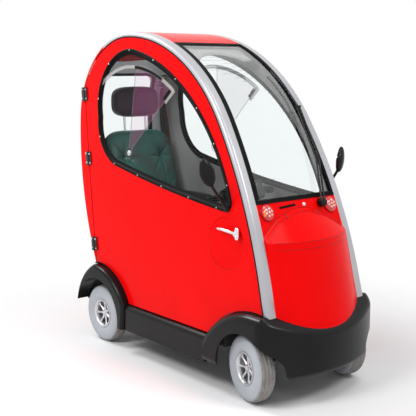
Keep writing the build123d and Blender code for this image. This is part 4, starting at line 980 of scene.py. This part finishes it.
# tail lamps: stepped red lenses in black bezels
tailLook = {
    "y": 0.215, "z": 0.560, "inside": 0.020, "radius": 0.0325, "tip": 0.0006, "face": 0.0324, "fall": 18,
    "step": 0.0009, "stepPitch": 0.0062, "skirt": [(0.036, 0.0), (0.036, 0.0285), (0.0350, 0.0308)],
    "bezel": [(0.0361, 0.012), (0.0402, 0.012), (0.0415, 0.0205), (0.0395, 0.0265), (0.0361, 0.0275)],
}


def makeTails():
    k = tailLook
    r = np.linspace(k["radius"], k["tip"], 24)
    steps = k["step"] * np.cos(r / k["stepPitch"] * 2 * pi)
    profile = np.concatenate([k["skirt"], np.stack([r, k["face"] + steps - k["fall"] * r ** 3], -1)])
    bases = [(float(tailX(k["z"])) + k["inside"], sign * k["y"], k["z"]) for sign in sides.values()]
    lens = [lathe(profile, base, (-1, 0, 0), 60) for base in bases]
    bezel = [lathe(k["bezel"], base, (-1, 0, 0), 48) for base in bases]
    makePiece("tailLenses", lens, "tailRed", "cabin", 30, ["tail_lamps"])
    makePiece("tailBezels", bezel, "blackMoulding", "cabin", 40)


makeTails()
print("lamps made")

# bonnet: where its top edge meets the front wall, a lip line, latches, dark lines painted as shade along its crease
# and along a second styling line, the cowl's air slot as a dark bar painted as the shade in it, and a small dome
# painted white as a glint
bonnetLook = {
    "crest": 0.520, "topZ": 0.838, "fall": 0.95, "bulge": 0.078, "panelY": 0.256, "reach": 0.316, "half": 0.232,
    "lip": 0.020, "lipLines": ((0.020, 0.0002, 0.0013), (0.001, 0.0, 0.0016)),  # ahead of the wall, lift, radius
    "line": 0.0011, "lineHalf": 0.222, "lineDrop": 0.030, "roll": 0.0050, "rollSink": 0.0030,
    "latchY": 0.097, "latchX": (0.004, 0.026), "latchR": 0.0042,
    "slotY": (-0.121, 0.109), "slotZ": (0.846, 0.006), "slotR": 0.0062, "slotSink": 0.0022,  # start and run
    "glint": (0.039, 0.849), "glintSize": (0.009, 0.007), "glintSink": 0.001,
}


def browHeight(x, y):  # top of the bonnet: an arc across, falling forward
    b = bonnetLook
    return b["topZ"] - b["crest"] + np.sqrt(b["crest"] ** 2 - y ** 2) - b["fall"] * (x - float(frontX(b["topZ"])))


def panelX(y, z):  # upright face of the bonnet: a circle in plan, carried up along the lean
    b = bonnetLook
    sag = b["bulge"] * (b["reach"] / b["panelY"]) ** 2
    r = (b["reach"] ** 2 + sag ** 2) / (2 * sag)
    return float(frontX(0.0)) + b["bulge"] - r + np.sqrt(r ** 2 - y ** 2) - z * tan(cabin["lean"])


def bonnetEdge(y):  # where the top meets the front wall, by repeated substitution
    z = np.full_like(y, 0.80)
    for _ in range(30):
        z = browHeight(frontX(z), y)
    return frontX(z)


def foldZ(y):  # height where the top turns down into the upright face, by halving the step
    z = np.full_like(y, 0.71)
    for _ in range(40):
        z = 0.5 * z + 0.5 * browHeight(panelX(y, z), y)
    return z


def browLine(x, y, lift=0.0):
    return np.stack([x, y, browHeight(x, y) + lift], -1)


def makeBonnetTrim():
    b = bonnetLook
    y = np.linspace(-b["half"], b["half"], 90)
    x, creaseZ = bonnetEdge(y), foldZ(y)
    seamsAndShadeLines = [tube(browLine(x + ahead, y, lift), radius, ref=(1, 0, 0), count=8)
             for ahead, lift, radius in b["lipLines"]]
    # the crease where the top turns down, and a second styling line below it, are thin dark lines painted as shade
    wide = np.abs(y) < b["lineHalf"]
    y2 = np.linspace(-b["lineHalf"], b["lineHalf"], 80)
    z2 = np.interp(y2, y, creaseZ) - b["lineDrop"]
    for ly, lz in ((y[wide], creaseZ[wide]), (y2, z2)):
        seamsAndShadeLines.append(tube(np.stack([panelX(ly, lz), ly, lz], -1), b["line"], ref=(0, 0, 1), count=8))
    makePiece("bonnetSeamsAndShadeLines", seamsAndShadeLines, "redTrimAndShade", "cabin", 60)
    roll = browLine(x + b["lip"] * 0.5, y, -b["rollSink"])
    makePiece("bonnetRoll", [tube(roll, b["roll"], ref=(1, 0, 0), count=12)], "redGloss", "cabin", 60)
    tabs = []
    for sign in sides.values():
        ty = np.full(10, sign * b["latchY"])
        tabs.append(tube(browLine(bonnetEdge(ty) + np.linspace(*b["latchX"], 10), ty), b["latchR"], count=10))
    makePiece("bonnetLatches", tabs, "redTrimAndShade", "cabin", 50)
    # the cowl's air slot: a black bar on the surface, painted as the shade inside the slot
    share = np.linspace(0, 1, 24)
    sy, sz = (start + run * share for start, run in (b["slotY"], b["slotZ"]))
    slotLine = np.stack([frontX(sz) - b["slotSink"], sy, sz], -1)
    swell = b["slotR"] * np.clip(4.2 * np.sqrt(share * (1 - share)), 0.2, 1)
    makePiece("cowlSlot", [tube(slotLine, swell, ref=(1, 0, 0.3), count=12)], "blackRubberAndShade", "cabin", 50)
    # a small dome on the cowl, painted white as a glint
    ny, nz = b["glint"]
    glint = dome((float(frontX(nz)) - b["glintSink"], ny, nz), (1, 0, 0.4), *b["glintSize"], 24)
    makePiece("cowlGlint", [glint], "palePaintedLight", "cabin", 50)


makeBonnetTrim()
print("bonnet trim made")

# door handles: an oval plate on a neck, and a tapered lever that ends over the dish
handleLook = {
    "plate": (0.506, 0.744), "tip": (0.372, 0.752), "leverZ": 0.750, "stand": 0.010, "bow": (0.006, 0.003),
    "plateHalf": (0.0135, 0.0095, 0.0285), "plateSink": 0.002, "leverSink": 0.001, "leverR": 0.0088,
    "leverTaper": 0.0022, "tipFrom": 0.93, "tipRun": 0.07,
    "neckAt": (0.494, 0.742), "neck": [(0.012, -0.020), (0.011, 0.0), (0.010, 0.004)], "lockAt": (0.001, -0.014),
    "lock": [(0.0058, 0.002), (0.0058, 0.0085), (0.0048, 0.0093), (0.0022, 0.0093), (0.0020, 0.0075)],
}


def makeHandle(side, sign):
    h = handleLook
    y0 = float(flankY(h["leverZ"])) + h["stand"]
    (px, pz), (tx, tz) = h["plate"], h["tip"]
    plate = superPad((px, sign * (y0 - h["plateSink"]), pz), h["plateHalf"], 0.75, 24, 40)
    neck = lathe(h["neck"], (h["neckAt"][0], sign * y0, h["neckAt"][1]), (0, sign, 0), 28)
    t = np.linspace(0, 1, 30)
    arch = np.sin(pi * t)
    path = np.stack([px + (tx - px) * t, sign * (y0 - h["leverSink"] + h["bow"][0] * arch),
                     pz + (tz - pz) * t + h["bow"][1] * arch], -1)
    tip = np.clip((t - h["tipFrom"]) / h["tipRun"], 0, 1)  # a rounded end
    radius = (h["leverR"] - h["leverTaper"] * t) * np.sqrt(np.clip(1 - tip ** 2, 0.02, 1))
    lever = tube(path, radius, count=18, squash=0.95)
    lock = lathe(h["lock"], (px + h["lockAt"][0], sign * y0, pz + h["lockAt"][1]), (0, sign, 0), 24)
    parts = [plate, neck, lever, lock]
    makePiece(f"doorHandle{side.capitalize()}", parts, "chrome", f"door_{side}", 45, [f"handle_{side}"])


def makeDishShadeLine(side, sign):  # a thin dark line painted as shade round the scooped edge of the dish, on the door's surface
    d = dishLook
    angle = np.radians(np.linspace(d["from"], d["to"], 70))
    x, z = d["centre"][0] + d["radius"] * np.cos(angle), d["centre"][1] + d["radius"] * np.sin(angle)
    lip = tube(onFlank(x, z, sign, -d["sink"]), d["line"], count=8)
    makePiece(f"dishShadeLine{side.capitalize()}", [lip], "redTrimAndShade", f"door_{side}", 60)


for side, sign in sides.items():
    makeHandle(side, sign)
    makeDishShadeLine(side, sign)
print("handles made")

# door mirrors: a round pad on the gasket, a bent stalk and a leaf-shaped head with the glass behind
mirrorLook = {
    "footZ": 0.849, "footBack": 0.138, "footOut": 0.0033, "padR": 0.017, "reach": (0.008, -0.122, 0.168),
    "yaw": radians(-22), "roll": radians(18), "half": (0.018, 0.034, 0.064), "glass": (0.0275, 0.0555),
    "taper": 0.22, "back": 0.55, "backPower": 0.25, "stalk": 0.0068, "stalkFoot": 0.0022,
    "route": [(0, -0.006, 0), (0.001, -0.014, 0.012), (0.003, -0.038, 0.040), (0.006, -0.070, 0.075),
              (0.010, -0.100, 0.112), (0.009, -0.110, 0.135)],
    "pad": [(0.0170, 0.0), (0.0170, 0.006), (0.0150, 0.0105), (0.0100, 0.012)],
    "glassLayers": ((1.0, -0.0080), (1.0, -0.0112), (0.94, -0.0120)),  # size and place behind the middle
}


def leafWidth(rise):  # narrower towards the top
    return 1 - mirrorLook["taper"] * smoothStep(0.0, 1.0, rise)


def makeMirror(side, sign):
    m, door, tag = mirrorLook, f"door_{side}", side.capitalize()
    footY = -float(flankY(m["footZ"] - m["padR"])) - m["footOut"]
    foot = np.array([float(frontX(m["footZ"])) - m["footBack"], footY, m["footZ"]])
    centre = foot + np.array(m["reach"])
    yaw = np.array([(cos(m["yaw"]), -sin(m["yaw"]), 0), (sin(m["yaw"]), cos(m["yaw"]), 0), (0, 0, 1)])
    roll = np.array([(1, 0, 0), (0, cos(m["roll"]), -sin(m["roll"])), (0, sin(m["roll"]), cos(m["roll"]))])
    turn = (yaw @ roll).T
    flip = np.array([1, -sign, 1])
    v, u = sphereAngles(40, 64)
    depth = np.cos(v) * np.cos(u)
    depth = np.where(depth > 0, depth, m["back"] * signedPower(depth, m["backPower"]))
    head = np.stack([depth, np.cos(v) * np.sin(u) * leafWidth(np.sin(v)), np.sin(v)], -1) * m["half"] @ turn + centre
    route = foot + np.array(m["route"])
    t, even = np.linspace(0, 1, len(route)), np.linspace(0, 1, 40)
    path = np.stack([np.interp(even, t, route[:, k]) for k in range(3)], -1)
    path[1:-1] = (path[:-2] + 2 * path[1:-1] + path[2:]) / 4
    stalk = tube(path * flip, m["stalk"] + m["stalkFoot"] * np.exp(-(even / 0.12) ** 2), ref=(1, 0, 0), count=14)
    pad = lathe(m["pad"], foot * flip, np.array([0, -1, 0]) * flip, 32)
    parts = [(head * flip, gridQuads(40, 64, closeCols=True)), stalk, pad]
    makePiece(f"doorMirror{tag}", parts, "blackMoulding", door, 50, [f"mirror_{side}"])
    a = np.linspace(0, 2 * pi, 60, endpoint=False)
    layers = []
    for shrink, x in m["glassLayers"]:
        width = m["glass"][0] * shrink * np.cos(a) * leafWidth(np.sin(a))
        layers.append(np.stack([np.full(60, x), width, m["glass"][1] * shrink * np.sin(a)], -1))
    points = (np.stack(layers) @ turn + centre) * flip
    makePiece(f"mirrorGlass{tag}", [(points, barrelFaces(len(layers), 60))], "mirrorGlass", door, 30)


for side, sign in sides.items():
    makeMirror(side, sign)
print("mirrors made")

# screw heads on the hinge leaves, which turn with the door, and on the brackets behind them
hingeLook = {"heights": (0.524, 0.980, 1.322), "stand": 0.0078, "spots": (-0.024, 0.024), "across": 0.016,
             "screw": (0.0050, 0.0028)}
for side, sign in sides.items():
    h, tag = hingeLook, side.capitalize()
    for name, way, body in (("hingeScrews", 1, f"door_{side}"), ("bracketScrews", -1, "cabin")):
        heads = []
        for z0 in h["heights"]:
            y = sign * (float(flankY(z0)) + h["stand"])
            for z in (z0 + spot for spot in h["spots"]):
                heads.append(dome((hingeAt(z) + way * h["across"], y, z), (0, sign, 0), *h["screw"], 14))
        makePiece(name + tag, heads, "alloy", body, 40)
print("hinge screws made")

# tiller: ribbed grips, a round gauge and switches on the console, all in the leaning column's own frame
tillerLook = {
    "foot": (0.470, 0, 0.209), "head": (0.190, 0, 0.860), "turn": radians(-12.8), "console": 0.040,
    "gripFrom": (-0.012, 0.124, 0.0013), "gripTo": (-0.095, 0.225, 0.010), "grip": 0.0166, "rib": 0.0011, "ribs": 14,
    "gripRound": 0.004, "gripShort": 0.002,
    "collar": [(0.0195, -0.004), (0.0205, 0.0), (0.0195, 0.004)], "gaugeX": -0.006,
    "gaugeRing": [(0.034, -0.004), (0.034, 0.003), (0.031, 0.0045), (0.029, 0.0030)],
    "gaugeFace": [(0.0295, -0.002), (0.0290, 0.0028), (0.015, 0.0034), (0.0008, 0.0036)],
    "knobX": -0.012, "knobY": (-0.062, 0.062), "knob": (0.009, 0.009), "knobSink": 0.001,
    "switchX": 0.026, "switchY": (-0.055, 0.0, 0.055), "switchHalf": (0.006, 0.012, 0.004),
}


def makeTillerTrim():
    k = tillerLook
    foot, head = np.array(k["foot"]), np.array(k["head"])
    length = np.linalg.norm(head - foot)
    way = (head - foot) / length
    xDir = np.array([way[2], 0, -way[0]])
    yDir = np.cross(way, xDir)
    c, s = cos(k["turn"]), sin(k["turn"])
    basis = np.stack([xDir * c + yDir * s, yDir * c - xDir * s, way])

    def place(x, y, z):  # from the head of the column, in its own directions
        return foot + np.array([x, y, length + z]) @ basis

    grips, collars = [], []
    t = np.linspace(0, 1, 60)
    ribs = k["grip"] + k["rib"] * np.sin(t * 2 * pi * k["ribs"]) - k["gripRound"] * smoothStep(0.96, 1.0, t)
    for sign in sides.values():
        start, end = (place(x, sign * y, z) for x, y, z in (k["gripFrom"], k["gripTo"]))
        reach = np.linalg.norm(end - start) - k["gripShort"]
        grips.append(lathe(np.stack([ribs, t * reach], -1), start, end - start, 28))
        collars.append(lathe(k["collar"], start, end - start, 28))
    makePiece("tillerGrips", grips + collars, "blackRubberAndShade", "tiller", 50)
    top = k["console"]
    gaugeAt = place(k["gaugeX"], 0, top)
    makePiece("tillerGaugeRing", [lathe(k["gaugeRing"], gaugeAt, way, 40)], "chrome", "tiller", 40)
    makePiece("tillerGauge", [lathe(k["gaugeFace"], gaugeAt, way, 40)], "gaugeFace", "tiller", 40)
    knobs = [dome(place(k["knobX"], y, top - k["knobSink"]), way, *k["knob"], 20) for y in k["knobY"]]
    knobs += [superPad(place(k["switchX"], y, top), k["switchHalf"], 0.5, 12, 24) for y in k["switchY"]]
    makePiece("tillerSwitches", knobs, "greyTrim", "tiller", 40)


makeTillerTrim()
print("tiller trim made")


# stage, lights and camera
def addArea(name, place, target, size, power):
    light = bpy.data.lights.new(name, "AREA")
    light.shape = "RECTANGLE"
    light.size, light.size_y = size
    light.energy = power
    lamp = bpy.data.objects.new(name, light)
    lamp.location = place
    lamp.rotation_euler = (Vector(target) - Vector(place)).to_track_quat("-Z", "Y").to_euler()
    bpy.context.scene.collection.objects.link(lamp)


def seenRays(tree):  # a node that gives 1 for rays from the camera, straight or by way of glass and gloss
    path = addNode(tree, "ShaderNodeLightPath", (-700, -300))
    through, seen = (addNode(tree, "ShaderNodeMath", (x, -300), operation="MAXIMUM") for x in (-500, -350))
    wire(tree, (path, "Is Camera Ray", through, 0), (path, "Is Transmission Ray", through, 1),
         (through, 0, seen, 0), (path, "Is Glossy Ray", seen, 1))
    return seen


floorLook = {"size": 40.0, "colour": (0.88, 0.88, 0.89, 1), "rough": 0.6, "spec": 0.2, "near": 0.70, "far": 2.1}
worldLook = {"light": 0.40, "seen": 1.0}


def makeFloor():
    half = floorLook["size"] / 2
    mesh = bpy.data.meshes.new("studioFloor")
    mesh.from_pydata([(-half, -half, 0), (half, -half, 0), (half, half, 0), (-half, half, 0)], [], [(0, 1, 2, 3)])
    floor = bpy.data.objects.new("studioFloor", mesh)
    bpy.context.scene.collection.objects.link(floor)
    material, tree, shader = newMaterial("paleFloor", {
        "Base Color": floorLook["colour"], "Roughness": floorLook["rough"], "Specular IOR Level": floorLook["spec"]})
    coords = addNode(tree, "ShaderNodeTexCoord", (-900, 0))
    length = addNode(tree, "ShaderNodeVectorMath", (-700, 0), operation="LENGTH")
    fade = addNode(tree, "ShaderNodeMapRange", (-500, 0), {
        "From Min": floorLook["near"], "From Max": floorLook["far"]}, interpolation_type="SMOOTHSTEP")
    white = addNode(tree, "ShaderNodeEmission", (-200, -300))
    share = addNode(tree, "ShaderNodeMath", (-200, 100), operation="MULTIPLY")  # the white far floor lights nothing
    wire(tree, (coords, "Object", length, 0), (length, "Value", fade, "Value"), (fade, "Result", share, 0),
         (seenRays(tree), 0, share, 1))
    mixSurface(tree, share, shader, white)
    mesh.materials.append(material)


def makeWorld():  # white where it is seen directly, softer as a light
    world = bpy.data.worlds.new("studio")
    bpy.context.scene.world = world
    world.use_nodes = True
    tree = world.node_tree
    background = tree.nodes["Background"]
    background.inputs["Color"].default_value = (1, 1, 1, 1)
    strength = addNode(tree, "ShaderNodeMapRange", (-200, 0), {
        "To Min": worldLook["light"], "To Max": worldLook["seen"]})
    wire(tree, (seenRays(tree), 0, strength, "Value"), (strength, "Result", background, "Strength"))


makeWorld()
makeFloor()
softboxes = {  # place, target, size, watts
    "keySoftbox": ((0.3, -3.2, 3.4), (0, 0, 0.8), (1.5, 1.1), 80),
    "noseSoftbox": ((3.0, 0.6, 3.2), (0.3, 0, 0.9), (1.1, 1.0), 45),
    "tailSoftbox": ((-2.7, -1.3, 3.7), (0.2, -0.2, 0.7), (1.4, 1.1), 90),
    "roofSoftbox": ((1.5, 0.5, 4.2), (0.3, 0, 0.8), (1.4, 1.2), 30),
}
for name, spec in softboxes.items():
    addArea(name, *spec)

# camera solved from the photo's vanishing lines and wheel positions
cameraLook = {"place": (3.2449, -2.7676, 1.4532), "yaw": radians(39.91), "pitch": radians(9.17), "lens": 74.28,
              "sensor": 36.0, "clip": 100}


def makeCamera():
    c = cameraLook
    look = Vector((-cos(c["yaw"]) * cos(c["pitch"]), sin(c["yaw"]) * cos(c["pitch"]), -sin(c["pitch"])))
    data = bpy.data.cameras.new("photoCamera")
    data.lens = c["lens"]
    data.sensor_width = c["sensor"]
    data.clip_end = c["clip"]
    camera = bpy.data.objects.new("photoCamera", data)
    camera.location = c["place"]
    camera.rotation_euler = look.to_track_quat("-Z", "Y").to_euler()
    bpy.context.scene.collection.objects.link(camera)
    bpy.context.scene.camera = camera


makeCamera()
bpy.context.scene.view_settings.view_transform = "Standard"
print("stage, lights and camera set")
